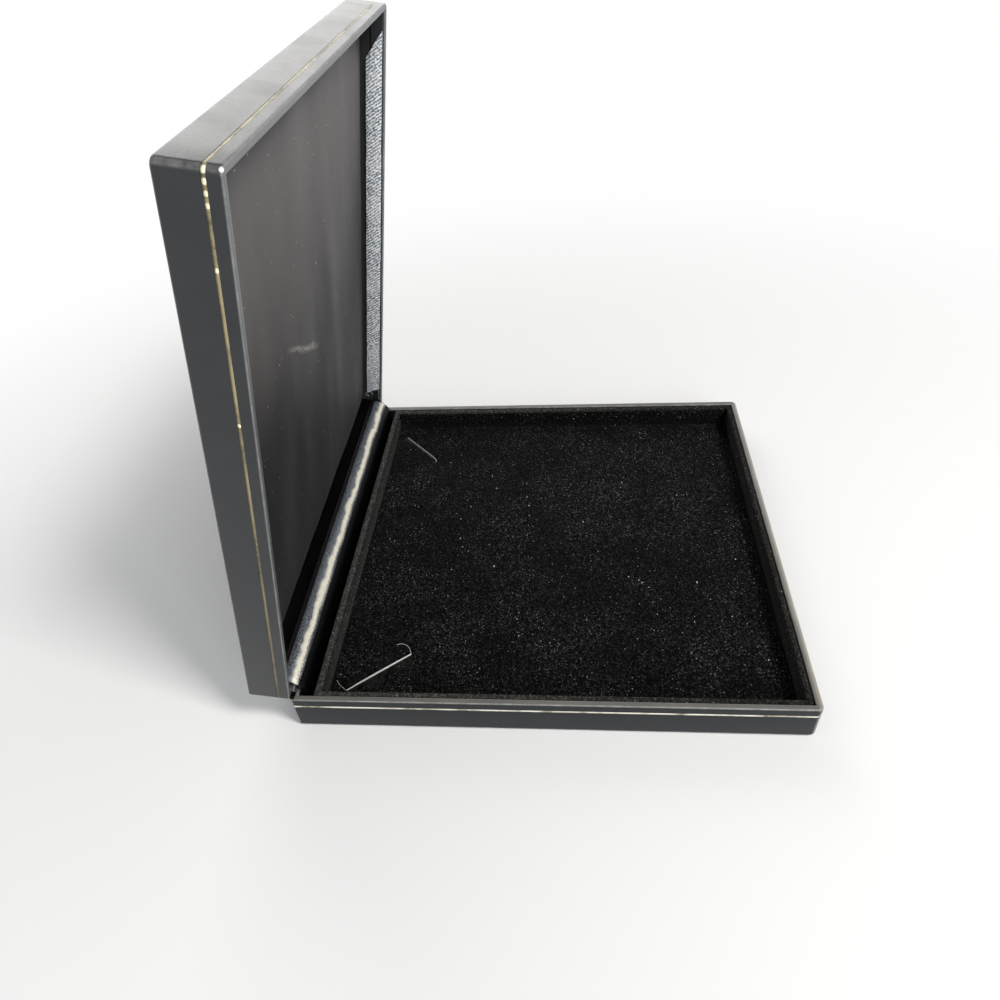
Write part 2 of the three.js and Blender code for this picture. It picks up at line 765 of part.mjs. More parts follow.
// The lid pad: board and wadding under a puffed satin cover with soft slanting folds
const lidPadHalfX = innerHalfX - lidPadEdgeGap;
const lidPadRear = -liningFace - liningCard - lidPadEdgeGap;
const lidPadFront = -boxDepth + liningInner + lidPadEdgeGap;
const lidPadHalfY = (lidPadRear - lidPadFront) / 2;
const lidPadCentreY = (lidPadRear + lidPadFront) / 2;
const lidPadBack = lidFloor - glueLine;

function shoulder(share) {
  return (1 - Math.abs(share) ** lidPadSquareness) ** (1 / lidPadSquareness);
}

// How far a sheet drawn in by a margin stands above the lid's floor, folds included
function puffHeight(x, y, margin, foldHeight) {
  const puff = shoulder(x / (lidPadHalfX - margin)) * shoulder(y / (lidPadHalfY - margin));
  const phase = 2 * Math.PI * (x + lidPadSlantShare * y) / lidPadFoldPitch;
  const fold = foldHeight * puff * Math.sin(phase) * Math.cos(y / lidPadFoldPitch);
  return (lidPadCrown - margin + fold) * puff;
}

// The shares of the half size at which the pad's surface is drawn, closest at its edges
function edgeShare(step) {
  return Math.sin(Math.PI * (step - 1 / 2));
}

function satinSheet(margin) {
  return (along, across) => {
    const x = edgeShare(along) * (lidPadHalfX - margin);
    const y = edgeShare(across) * (lidPadHalfY - margin);
    return new THREE.Vector3(x, lidPadCentreY + y, lidPadBack - puffHeight(x, y, margin, lidPadFold));
  };
}

// The wadding fills the satin cover from the board up, with a little slack
function waddingSheet(standOff) {
  return (along, across) => {
    const x = edgeShare(along) * (lidPadHalfX - lidPadBoardInset);
    const y = edgeShare(across) * (lidPadHalfY - lidPadBoardInset);
    return new THREE.Vector3(x, lidPadCentreY + y, lidPadBack - standOff(x, y));
  };
}

const lidPadBoardOutline = {
  halfX: lidPadHalfX - lidPadBoardInset,
  halfY: lidPadHalfY - lidPadBoardInset,
  radius: wallCorner,
  centreY: lidPadCentreY,
};
lidGroup.add(
  piece('lid_pad_board', plate(lidPadBoardOutline, 0, lidPadBack - lidPadBoard, lidPadBack), 'board'),
  piece('lid_pad_wadding', sheetSolid(
    waddingSteps, waddingSteps,
    waddingSheet((x, y) => puffHeight(x, y, lidPadSatin, 0) - lidPadSlack),
    waddingSheet(() => lidPadBoard + glueLine),
  ), 'foam'),
  piece('lid_pad_satin', sheetSolid(
    lidPadSteps, lidPadSteps,
    satinSheet(0),
    satinSheet(lidPadSatin),
  ), 'darkSatin'),
);

// The hinge parts that turn with the lid
hingeCentres.forEach((centre, index) => {
  lidGroup.add(piece(`lid_hinge_leaf_${sideNames[index]}`, hingeLeaf(centre, 'lid'), 'steel'));
});
tackPlaces.forEach((place, index) => {
  lidGroup.add(piece(`lid_hinge_tack_${index + 1}`, onSide(tack(place), 'lid'), 'steel'));
});

const presentationBox = new THREE.Group();
presentationBox.add(baseGroup, hingeGroup, lidGroup);

export default presentationBox;
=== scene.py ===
import math

import bmesh
import bpy
from mathutils import Matrix, Vector, noise


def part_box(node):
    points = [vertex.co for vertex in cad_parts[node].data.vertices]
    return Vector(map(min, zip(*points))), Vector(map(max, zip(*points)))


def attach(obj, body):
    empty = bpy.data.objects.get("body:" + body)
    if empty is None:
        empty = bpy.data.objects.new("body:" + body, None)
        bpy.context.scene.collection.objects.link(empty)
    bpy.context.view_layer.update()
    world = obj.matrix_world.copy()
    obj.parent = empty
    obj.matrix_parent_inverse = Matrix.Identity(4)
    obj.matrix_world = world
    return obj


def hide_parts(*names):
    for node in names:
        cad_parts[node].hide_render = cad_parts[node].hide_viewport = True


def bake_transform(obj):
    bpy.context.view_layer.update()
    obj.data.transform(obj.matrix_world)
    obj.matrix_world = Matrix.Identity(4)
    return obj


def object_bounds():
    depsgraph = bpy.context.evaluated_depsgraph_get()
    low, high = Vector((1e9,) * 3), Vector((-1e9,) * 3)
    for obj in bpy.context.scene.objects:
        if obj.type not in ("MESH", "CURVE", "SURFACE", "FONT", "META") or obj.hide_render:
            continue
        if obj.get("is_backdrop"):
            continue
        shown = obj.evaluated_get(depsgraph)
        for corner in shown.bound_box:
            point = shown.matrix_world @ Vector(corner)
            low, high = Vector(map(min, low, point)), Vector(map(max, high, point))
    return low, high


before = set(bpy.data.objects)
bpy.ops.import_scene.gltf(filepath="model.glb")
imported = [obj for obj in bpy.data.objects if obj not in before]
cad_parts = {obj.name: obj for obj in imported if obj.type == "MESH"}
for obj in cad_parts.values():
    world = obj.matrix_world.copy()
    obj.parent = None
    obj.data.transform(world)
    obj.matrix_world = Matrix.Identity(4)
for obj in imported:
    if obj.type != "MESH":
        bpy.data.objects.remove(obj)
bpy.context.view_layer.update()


# The studio: a plain pale table under soft lamps, in a room that is white all round and dimmer
# overhead. The camera stands above the left end of the box and looks down along it.
MM = 0.001
TABLE_SIZE = 16
TABLE_GREY = 0.9
TABLE_CLEAR = (0.15, 0.5)
ROOM_TINT = (0.97, 0.985, 1, 1)
ROOM_GLOW = 0.5
ROOM_DIM = 0.7
ROOM_RISE = (0.4, 0.85)
LAMPS = (
    ("key_lamp", (-0.4, -0.65, 1.05), 0.28, 11, (1, 0.98, 0.95)),
    ("left_lamp", (-1.1, -0.5, 0.55), 0.6, 5, (0.92, 0.96, 1)),
    ("far_lamp", (1.05, 0.45, 0.62), 0.9, 5.5, (1, 0.98, 0.95)),
)
CAMERA_PLACE = (-250.37, -7.54, 253.12)
CAMERA_LOOK = (0.7449, 0.0910, -0.6609)
CAMERA_TOP = (0.664, -0.0049, 0.7477)
CAMERA_LENS = 27.32
CAMERA_NEAREST = 0.01


class Wire:
    """A value inside a material. A sum written with wires adds its Math nodes."""

    def __init__(self, tree, socket):
        self.tree = tree
        self.socket = socket

    def maths(self, operation, *values):
        node = self.tree.nodes.new("ShaderNodeMath")
        node.operation = operation
        for place, value in enumerate(values):
            if isinstance(value, Wire):
                self.tree.links.new(value.socket, node.inputs[place])
            else:
                node.inputs[place].default_value = value
        return Wire(self.tree, node.outputs[0])

    def __add__(self, other):
        return self.maths("ADD", self, other)

    __radd__ = __add__

    def __sub__(self, other):
        return self.maths("SUBTRACT", self, other)

    def __rsub__(self, other):
        return self.maths("SUBTRACT", other, self)

    def __mul__(self, other):
        return self.maths("MULTIPLY", self, other)

    __rmul__ = __mul__

    def size(self):
        return self.maths("ABSOLUTE", self)

    def most(self, other):
        return self.maths("MAXIMUM", self, other)

    def sine(self):
        return self.maths("SINE", self)


def link(tree, value, socket):
    """Joins a wire to a socket, or sets the socket to a plain value."""
    if isinstance(value, Wire):
        tree.links.new(value.socket, socket)
    else:
        socket.default_value = value


def add_node(tree, kind, settings=None, inputs=None, output=0):
    """Any node but Math: its settings first, then the values or wires of its sockets."""
    node = tree.nodes.new(kind)
    for setting, value in (settings or {}).items():
        setattr(node, setting, value)
    for socket, value in (inputs or {}).items():
        link(tree, value, node.inputs[socket])
    return Wire(tree, node.outputs[output])


def soft_step(tree, value, low, high):
    """0 below low, 1 above high and a soft rise between."""
    values = {"Value": value, "From Min": low, "From Max": high}
    return add_node(tree, "ShaderNodeMapRange", {"interpolation_type": "SMOOTHSTEP"}, values)


def seen_in_gloss(tree):
    """1 where the camera, a mirror or glass looks, and 0 where the light falls."""
    rays = [
        add_node(tree, "ShaderNodeLightPath", output=name)
        for name in ("Is Camera Ray", "Is Glossy Ray", "Is Transmission Ray")
    ]
    return rays[0].most(rays[1]).most(rays[2])


class Finish:
    """A surface finish: plain values on the shader's own sockets, wires for what varies."""

    def __init__(self, name, values):
        self.material = bpy.data.materials.new(name)
        self.material.use_nodes = True
        self.tree = self.material.node_tree
        self.shader = self.tree.nodes["Principled BSDF"]
        for socket, value in values.items():
            self.shader.inputs[socket].default_value = value
        self.place = self.node("ShaderNodeTexCoord", output="Object")

    def node(self, kind, settings=None, inputs=None, output=0):
        return add_node(self.tree, kind, settings, inputs, output)

    def turned(self, turn=(0, 0, 0), scale=(1, 1, 1), move=(0, 0, 0)):
        """The place on the piece, scaled, then turned, then moved."""
        values = {"Vector": self.place, "Rotation": turn, "Scale": scale, "Location": move}
        return self.node("ShaderNodeMapping", {}, values)

    def apart(self, place):
        """The three numbers of a place."""
        split = self.node("ShaderNodeSeparateXYZ", {}, {"Vector": place})
        return [Wire(self.tree, socket) for socket in split.socket.node.outputs]

    def off(self, place, middle):
        """How far a place is from a middle given in millimetres."""
        values = {0: place, 1: [value * MM for value in middle]}
        return self.node("ShaderNodeVectorMath", {"operation": "DISTANCE"}, values, 1)

    def noise(self, place, pitch, detail=2.0, rough=0.5):
        """Random clouds of about that pitch in millimetres, from 0 to 1."""
        values = {"Vector": place, "Scale": 1 / (pitch * MM), "Detail": detail, "Roughness": rough}
        return self.node("ShaderNodeTexNoise", {}, values)

    def step(self, value, low, high):
        return soft_step(self.tree, value, low, high)

    def mix(self, share, first, second):
        """Two colours mixed by a share."""
        return self.node("ShaderNodeMix", {"data_type": "RGBA"}, {0: share, 6: first, 7: second}, 2)

    def feed(self, socket, value):
        link(self.tree, value, self.shader.inputs[socket])

    def raise_by(self, height, depth):
        """Relief from a height of 0 to 1 that stands for a depth in millimetres."""
        values = {"Height": height, "Distance": depth * MM}
        self.feed("Normal", self.node("ShaderNodeBump", {}, values))


bpy.context.scene.view_settings.view_transform = "Standard"
bpy.ops.object.select_all(action="DESELECT")
bpy.ops.mesh.primitive_plane_add(size=TABLE_SIZE)
table = bpy.context.object
table.name = "studio_table"
table_paint = Finish("studio_table", {
    "Base Color": (TABLE_GREY, TABLE_GREY, TABLE_GREY, 1),
    "Roughness": 0.9, "Specular IOR Level": 0.1,
})
table_reach = table_paint.off(table_paint.place, (0, 0, 0))
table_mix = table_paint.node("ShaderNodeMixShader", {}, {
    0: table_paint.step(table_reach, *TABLE_CLEAR) * seen_in_gloss(table_paint.tree),
    1: Wire(table_paint.tree, table_paint.shader.outputs[0]),
    2: table_paint.node("ShaderNodeEmission"),
})
link(table_paint.tree, table_mix, table_paint.tree.nodes["Material Output"].inputs["Surface"])
table.data.materials.append(table_paint.material)
table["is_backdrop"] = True

room = bpy.data.worlds.new("studio_room")
bpy.context.scene.world = room
room.use_nodes = True
room_light = room.node_tree.nodes["Background"]
room_light.inputs["Color"].default_value = ROOM_TINT
room_way = add_node(room.node_tree, "ShaderNodeTexCoord", output="Generated")
room_rise = add_node(room.node_tree, "ShaderNodeSeparateXYZ", {}, {"Vector": room_way}, 2)
overhead = soft_step(room.node_tree, room_rise, *ROOM_RISE)
room_glow = seen_in_gloss(room.node_tree) * (1 - ROOM_GLOW) + ROOM_GLOW
link(room.node_tree, room_glow * (1 - overhead * ROOM_DIM), room_light.inputs["Strength"])

for name, place, size, power, warmth in LAMPS:
    bpy.ops.object.light_add(type="AREA", location=place)
    lamp = bpy.context.object
    lamp.name = name
    lamp.data.size = size
    lamp.data.energy = power
    lamp.data.color = warmth
    lamp.rotation_euler = (-Vector(place)).to_track_quat("-Z", "Y").to_euler()

forward = Vector(CAMERA_LOOK).normalized()
right = forward.cross(Vector(CAMERA_TOP)).normalized()
facing = Matrix((right, right.cross(forward), -forward)).transposed().to_quaternion()
bpy.ops.object.camera_add()
camera = bpy.context.object
camera.name = "camera"
camera.matrix_world = Matrix.LocRotScale(Vector(CAMERA_PLACE) * MM, facing, None)
camera.data.lens = CAMERA_LENS
camera.data.clip_start = CAMERA_NEAREST
bpy.context.scene.camera = camera


# The leatherette on the base: one black coated sheet glued round the board walls, turned over the
# rim and down inside, and folded under the floor. A line for the gilding is pressed into the walls,
# and the rear wall is notched where the hinges lie.
BOX_HALF = (95, 96)
WALL = 2.5
SKIN = 0.4
WALL_CORNER = 2.2
HINGE_CORNER = 0.9
CORNER_STEPS = 6
WRAP_BEND = 0.8
HINGE_BEND = 0.25
BEND_STEPS = 5
BASE_FAR = 0.5
BASE_RIM = 16.45
BASE_TURN_IN = 4
HEM = 12
GILT_DROP = 4.1
GROOVE_HALF = 0.5
GROOVE_DEPTH = 0.2
GROOVE_SLOPE = 0.06
HINGE_CENTRES = (-58, 58)
HINGE_AXIS = Vector((0, 96, 16.6))
NOTCH_HALF = 24.6
NOTCH_DEPTH = 1.6
NOTCH_LEFT = 0.15
HAIR = 0.01  # places closer than this are level
MOSTLY = 0.9  # a direction with this share along Z runs along it


def srgb(red, green, blue):
    """A colour as it looks, from 0 to 255, as the light value that a shader takes."""
    shades = [value / 255 for value in (red, green, blue)]
    return (*[s / 12.92 if s < 0.04 else ((s + 0.055) / 1.055) ** 2.4 for s in shades], 1)


def block(name, low, high):
    """A new box between two corners in millimetres, open for editing."""
    bpy.ops.object.select_all(action="DESELECT")
    middle = [(a + b) / 2 * MM for a, b in zip(low, high)]
    size = [(b - a) * MM for a, b in zip(low, high)]
    bpy.ops.mesh.primitive_cube_add(size=1, location=middle, scale=size)
    return open_piece(name)


def open_piece(name):
    """Names the new primitive, settles its size in its mesh and opens it for editing."""
    piece = bpy.context.object
    piece.name = name
    piece.data.name = name
    bpy.ops.object.transform_apply()
    bpy.ops.object.mode_set(mode="EDIT")
    return piece


def spot(part):
    """The middle of a corner, edge or face, in millimetres."""
    corners = list(part.verts) if hasattr(part, "verts") else [part]
    return sum((corner.co for corner in corners), Vector()) / len(corners) / MM


def pick(kind, test):
    """Selects the corners, edges or faces of the open piece that pass a test."""
    bpy.ops.mesh.select_mode(type=kind)
    bpy.ops.mesh.select_all(action="DESELECT")
    mesh = bmesh.from_edit_mesh(bpy.context.object.data)
    mesh.normal_update()
    for part in {"VERT": mesh.verts, "EDGE": mesh.edges, "FACE": mesh.faces}[kind]:
        if test(part):
            part.select_set(True)
    mesh.select_flush_mode()
    bmesh.update_edit_mesh(bpy.context.object.data)


def is_upright(edge):
    """True for an edge that runs along Z."""
    run = edge.verts[1].co - edge.verts[0].co
    return abs(run.z) > MOSTLY * run.length


def is_crease(edge, height):
    """True for a square edge of the wall at a height."""
    if not edge.is_manifold or abs(spot(edge).z - height) > HAIR or is_upright(edge):
        return False
    return edge.calc_face_angle() > math.radians(60)


def is_corner(edge):
    """True for a sharp edge between two faces."""
    return edge.is_manifold and edge.calc_face_angle() > math.radians(50)


def move_points(rule, picked=False):
    """Moves all or the picked corners of the open piece by a rule on places in millimetres."""
    mesh = bmesh.from_edit_mesh(bpy.context.object.data)
    for point in mesh.verts:
        if point.select or not picked:
            point.co = rule(point.co / MM) * MM
    bmesh.update_edit_mesh(bpy.context.object.data)


def extrude(move):
    """Pulls what is selected out by a move in millimetres."""
    bpy.ops.mesh.extrude_region_move(
        TRANSFORM_OT_translate={"value": [value * MM for value in move]}
    )


def bevel(width, segments):
    bpy.ops.mesh.bevel(offset=width * MM, segments=segments, affect="EDGES")


def round_uprights(sunk=0):
    """Rounds the upright corners of the open block, and those at the hinge less."""
    for side, corner in ((-1, WALL_CORNER), (1, HINGE_CORNER)):
        pick("EDGE", lambda edge: is_upright(edge) and spot(edge).y * side > 0)
        bevel(corner - sunk, CORNER_STEPS)


def cut(point, normal):
    """Cuts through the whole open piece with a plane."""
    bpy.ops.mesh.select_all(action="SELECT")
    facing = Vector(normal).normalized()
    bpy.ops.mesh.bisect(plane_co=Vector(point) * MM, plane_no=facing, threshold=HAIR / 10 * MM)


def cut_rows(axis, first, pitch=0.0, count=1):
    """Cuts through the open piece along an axis, from 0 for X to 2 for Z, at even distances."""
    facing = Vector((axis == 0, axis == 1, axis == 2))
    for step in range(count):
        cut(facing * (first + step * pitch), facing)


def face_out():
    """Turns all faces of the open piece outwards."""
    bpy.ops.mesh.select_all(action="SELECT")
    bpy.ops.mesh.normals_make_consistent(inside=False)


def apply(piece, kind, **settings):
    """Gives a piece a modifier and applies it."""
    modifier = piece.modifiers.new(kind.lower(), kind)
    for setting, value in settings.items():
        setattr(modifier, setting, value)
    bpy.context.view_layer.objects.active = piece
    bpy.ops.object.modifier_apply(modifier=modifier.name)


def close_piece(piece, finish, smooth=35):
    """Ends editing, smooths the bends and lays the finish on."""
    bpy.ops.object.mode_set(mode="OBJECT")
    bpy.ops.object.shade_smooth_by_angle(angle=math.radians(smooth))
    piece.data.materials.clear()
    piece.data.materials.append(finish.material)


def close_skin(piece, finish, thickness, offset=-1, smooth=35):
    """Closes a skin and gives it its thickness, inwards unless the offset says otherwise."""
    close_piece(piece, finish, smooth)
    apply(piece, "SOLIDIFY", thickness=thickness * MM, offset=offset)


def open_face(height):
    """Takes away the flat face of the open piece at a height."""
    pick("FACE", lambda face: abs(face.normal.z) > MOSTLY and abs(spot(face).z - height) < HAIR)
    bpy.ops.mesh.delete(type="FACE")


def fold_in(height, depth):
    """Folds the open rim at a height in by a depth, mitred at its four corners."""

    def on_rim(edge):
        return edge.is_boundary and abs(spot(edge).z - height) < HAIR

    pick("EDGE", on_rim)
    extrude((0, 0, 0))
    mesh = bmesh.from_edit_mesh(bpy.context.object.data)
    rim = [point for point in mesh.verts if point.select]
    for axis in (0, 1):
        low, high = (end(point.co[axis] for point in rim) for end in (min, max))
        for point in rim:
            past = point.co[axis] > (low + high) / 2
            point.co[axis] = high - depth * MM if past else low + depth * MM
    bmesh.update_edit_mesh(bpy.context.object.data)
    bpy.ops.mesh.select_all(action="SELECT")
    bpy.ops.mesh.remove_doubles(threshold=HAIR / 10 * MM)
    pick("EDGE", on_rim)


def wrap_walls(name, far, rim, turn_in, hem):
    """Leatherette round a shell from its far face to its rim, and turned in at the rim."""
    way = 1 if rim > far else -1
    line = rim - way * GILT_DROP
    low, high = sorted((far, rim))
    cover = block(name, (-BOX_HALF[0], -BOX_HALF[1], low), (*BOX_HALF, high))
    round_uprights()
    open_face(rim)
    fold_in(rim, WALL)
    extrude((0, 0, -way * turn_in))
    if hem:
        open_face(far)
        fold_in(far, hem)
    mesh = bmesh.from_edit_mesh(cover.data)
    bends = mesh.edges.layers.float.new("bevel_weight_edge")
    for edge in mesh.edges:
        if is_crease(edge, far):
            edge[bends] = 1
        if is_crease(edge, rim):
            past = 1 + (spot(edge).y - BOX_HALF[1]) / HINGE_CORNER
            edge[bends] = 1 - min(1, max(0, past)) * (1 - HINGE_BEND / WRAP_BEND)
    bmesh.update_edit_mesh(cover.data)
    bpy.ops.object.mode_set(mode="OBJECT")
    apply(
        cover, "BEVEL", width=WRAP_BEND * MM, segments=BEND_STEPS, limit_method="WEIGHT",
        use_clamp_overlap=False,
    )
    bpy.ops.object.mode_set(mode="EDIT")
    cut_rows(2, line - GROOVE_HALF, 2 * GROOVE_HALF, 2)
    pick("FACE", lambda face: abs(spot(face).z - line) < GROOVE_HALF
         and face.normal.dot(Vector((spot(face).x, spot(face).y, 0))) > 0)
    bpy.ops.mesh.inset(thickness=GROOVE_SLOPE * MM, depth=-GROOVE_DEPTH * MM)
    return cover


def notch_for_hinges(edge, depth):
    """Cuts the open cover's rear wall away where each hinge lies, a depth in from its edge."""
    cut_rows(2, edge + depth)
    for centre in HINGE_CENTRES:
        cut_rows(0, centre - NOTCH_HALF, 2 * NOTCH_HALF, 2)

        def in_notch(face):
            place = spot(face)
            return (abs(place.x - centre) < NOTCH_HALF and place.y > BOX_HALF[1] - WALL - 0.1
                    and abs(place.z - edge) < abs(depth))

        pick("FACE", in_notch)
        bpy.ops.mesh.delete(type="FACE")


def leatherette(name, gloss, coat, edge_wear_and_sheen, rim, pale, front, rubbed_and_highlights, turn=0.0, shift=(0, 0, 0)):
    """Black coated sheet: soft clouds, a fine grain and faint scuffs. The bends and the rim are
    pale, partly from wear and partly as painted sheen, and white spots at the given places are
    painted glints.

    The rim is paler along the front, as a painted highlight."""
    finish = Finish(name, {
        "IOR": 1.5, "Specular IOR Level": gloss, "Coat Roughness": 0.3, "Coat IOR": 1.4,
    })
    place = finish.turned((turn, 0, 0), move=shift)
    clouds = finish.noise(place, 38, 4, 0.55)
    smudges = finish.step(finish.noise(place, 13, 5, 0.6), 0.42, 0.75)
    grain = finish.noise(place, 0.55, 3, 0.6)
    board = finish.noise(place, 22, 2, 0.4)
    facing = finish.node("ShaderNodeTexCoord", output="Normal")
    square = finish.node("ShaderNodeMapping", {}, {"Vector": facing, "Rotation": (turn, 0, 0)})
    parts = [part.size() for part in finish.apart(square)]
    bend = 1 - finish.step(parts[0].most(parts[1]).most(parts[2]), 0.86, 0.99)
    wear_and_sheen = bend * (0.35 + 0.65 * finish.step(finish.noise(place, 5, 5, 0.7), 0.4, 0.66))
    _, y, height = finish.apart(place)
    behind = finish.step(y, -BOX_HALF[1] * MM, (WALL - BOX_HALF[1]) * MM)
    on_rim = 1 - finish.step((height - rim * MM).size(), 0.15 * MM, 0.75 * MM)
    scratch_place = finish.turned((turn, 0.3, 0.5), (1, 0.06, 1))
    scratches = finish.step(finish.noise(scratch_place, 1.6, 3, 0.7), 0.71, 0.76) * smudges
    shade = finish.mix(clouds, srgb(12, 14, 17), srgb(24, 27, 32))
    shade = finish.mix(smudges * 0.3, shade, srgb(46, 49, 53))
    # The pale rim is partly wear and partly painted sheen; the paler front is a painted highlight.
    on_rim = on_rim * (0.8 + 0.2 * smudges)
    shade = finish.mix(on_rim, shade, finish.mix(behind, front, pale))
    # Pale bends: partly wear, partly a painted edge highlight.
    shade = finish.mix(wear_and_sheen * edge_wear_and_sheen, shade, srgb(158, 158, 155))
    shade = finish.mix(scratches * 0.3, shade, srgb(110, 114, 118))
    # Painted glints: white spots at the given corners.
    for *middle, reach in rubbed_and_highlights:
        off = finish.off(place, middle) + grain * 0.3 * reach * MM
        highlight_spot = 1 - finish.step(off, 0.6 * reach * MM, 1.15 * reach * MM)
        shade = finish.mix(highlight_spot, shade, srgb(238, 238, 234))
    finish.feed("Base Color", shade)
    finish.feed("Roughness", clouds * 0.07 + smudges * 0.05 + grain * 0.08 + 0.32)
    finish.feed("Coat Weight", coat - smudges * 0.06)
    finish.raise_by(board * 0.2 + grain * 0.18 + scratches * 0.05, 0.4)
    return finish


base_leather = leatherette(
    "base_leatherette", 0.24, 0.12, 0.75, BASE_RIM, srgb(112, 110, 105), srgb(176, 170, 158),
    [(94.2, -95.2, 16.2, 0.6)],
)
base_cover = wrap_walls("base_cover", BASE_FAR, BASE_RIM, BASE_TURN_IN, HEM)
notch_for_hinges(BASE_RIM, NOTCH_LEFT - NOTCH_DEPTH)
close_skin(base_cover, base_leather, SKIN)
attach(base_cover, "base")
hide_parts("base_leatherette")


# The board under the leatherette: grey strawboard lined with black paper, glued at the corners.
# It shows only in the channel behind the tray and in the hinge notches.
def dress(node, finish):
    """Lays a finish on a CAD solid that shows as it is."""
    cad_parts[node].material_slots[0].material = finish.material


board_paper = Finish("black_lined_board", {"Roughness": 0.9})
fibres = board_paper.noise(board_paper.turned(scale=(1, 3, 1)), 1.4, 5, 0.7)
specks = board_paper.step(board_paper.noise(board_paper.place, 0.5, 2), 0.62, 0.75)
board_shade = board_paper.mix(fibres + specks * 0.3, srgb(18, 18, 19), srgb(44, 42, 40))
board_paper.feed("Base Color", board_shade)
board_paper.raise_by(fibres, 0.08)
for node in ("base_shell", "lid_shell"):
    dress(node, board_paper)


# The gilt line: gold foil hot-pressed into the groove round the base. It has rubbed thin, so the
# black shows through in places, and a few beads of thicker foil are painted pale as glints, one at
# the front corner.
GILT_HALF = 0.5
GILT_SUNK = 0.05
GILT_FOIL = 0.1
GILT_STEP = 8.2
GILT_WANDER = 0.07


def gilt_band(name, line):
    """A thin band of foil round the walls at a height."""
    half = [side - GILT_SUNK for side in BOX_HALF]
    foil = block(name, (-half[0], -half[1], line - GILT_HALF), (*half, line + GILT_HALF))
    for height in (line - GILT_HALF, line + GILT_HALF):
        open_face(height)
    round_uprights(GILT_SUNK)
    for axis in (0, 1):
        cut_rows(axis, -11 * GILT_STEP, GILT_STEP, 23)

    def wander(place):
        drift = noise.noise(place * 0.06 + Vector((0, 0, place.z > line)))
        return place + Vector((0, 0, GILT_WANDER * drift))

    move_points(wander)
    face_out()
    return foil


def gilding(name, dull, bright, painted_hinge_shade, bright_spots, turn=0.0, shift=(0, 0, 0)):
    """Rubbed gold foil over black, with painted shade towards the hinge, and beads of thicker foil
    painted pale as glints, at random and at the given spots.
    """
    finish = Finish(name, {"IOR": 1.5})
    place = finish.turned((turn, 0, 0), move=shift)
    rubbed_and_highlights = finish.noise(place, 1.3, 4, 0.75)
    patches = finish.step(finish.noise(place, 9, 3, 0.5), 0.38, 0.62)
    to_hinge = finish.step(finish.apart(place)[1], -0.7 * BOX_HALF[1] * MM, BOX_HALF[1] * MM)
    # Where the foil is kept: real rubbing, and on the lid painted shade towards the hinge.
    kept = finish.step(rubbed_and_highlights + patches * 0.3, 0.28, 0.62) * (1 - to_hinge * painted_hinge_shade)
    shade = finish.mix(kept, srgb(62, 57, 43), finish.mix(patches, dull, bright))
    # Beads of thicker foil painted pale as glints, and painted glints at the given spots.
    beads_and_glints = finish.step(finish.noise(place, 1.9, 2, 0.4), 0.7, 0.75)
    for *middle, reach in bright_spots:
        bright_spot = 1 - finish.step(finish.off(place, middle), 0.6 * reach * MM, reach * MM)
        beads_and_glints = beads_and_glints.most(bright_spot)
    finish.feed("Base Color", finish.mix(beads_and_glints, shade, srgb(255, 246, 208)))
    finish.feed("Metallic", patches * 0.2)
    finish.feed("Roughness", 0.5 - kept * 0.12)
    finish.raise_by(rubbed_and_highlights * 0.4 + beads_and_glints * 0.6, 0.12)
    return finish


base_gold = gilding(
    "base_gold_foil", srgb(184, 176, 152), srgb(255, 251, 236), 0, [(94.6, -95.6, 12.35, 0.9)]
)
base_gilding = gilt_band("base_gilding", BASE_RIM - GILT_DROP)
close_skin(base_gilding, base_gold, GILT_FOIL)
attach(base_gilding, "base")
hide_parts("base_gilt_line")


# The sheet under the base: black paper with a leather grain, pasted over the folded-under edges.
# It is what the box stands on, so its grain is rubbed smooth in patches.
under_paper = Finish("underside_paper", {"Roughness": 0.7})
paper_cells = under_paper.node(
    "ShaderNodeTexVoronoi", {"feature": "DISTANCE_TO_EDGE"},
    {"Vector": under_paper.place, "Scale": 900},
)
paper_rub = under_paper.step(under_paper.noise(under_paper.place, 30, 5, 0.6), 0.5, 0.7)
under_paper.feed("Base Color", under_paper.mix(paper_rub, srgb(24, 25, 26), srgb(52, 51, 50)))
under_paper.feed("Roughness", 0.8 - paper_rub * 0.25)
under_paper.raise_by(under_paper.step(paper_cells, 0, 0.25) * (1 - paper_rub * 0.6), 0.08)
dress("underside_sheet", under_paper)


# The tray frame: a strip of card covered in black velvet and stood inside the walls as a lining.
# It stops short of the rear wall, which leaves the channel for the hinges.
VELVET = 0.6
FRAME_WALL = 2.4
FRAME_BEND = 0.9
FRAME_STEP = 9
FRAME_SAG = 0.12
FRAME_SOFT = 2

# Cotton velvet has a deep fine pile, brushed in patches, with lint on it. Its pile is paler at the
# rim, more so towards the hinge, partly from wear and partly as painted sheen.
velvet = Finish("black_velvet", {
    "Roughness": 1, "Specular IOR Level": 0.05,
    "Sheen Weight": 0.04, "Sheen Roughness": 0.4, "Sheen Tint": (0.86, 0.85, 0.84, 1),
})
tips = velvet.noise(velvet.place, 0.9, 4, 0.75)
glints = velvet.step(velvet.noise(velvet.turned(move=(0.3, 0.5, 0.7)), 0.8, 3, 0.7), 0.6, 0.7)
sparks = velvet.step(velvet.noise(velvet.turned(move=(0.6, 0.2, 0.9)), 0.85, 2, 0.5), 0.7, 0.76)
brushed = velvet.step(velvet.noise(velvet.place, 24, 5, 0.6), 0.36, 0.68)
lint = velvet.step(velvet.noise(velvet.turned(move=(0.1, 0.9, 0.4)), 1.3, 1, 0.3), 0.81, 0.82)
_, pile_y, pile_z = velvet.apart(velvet.place)
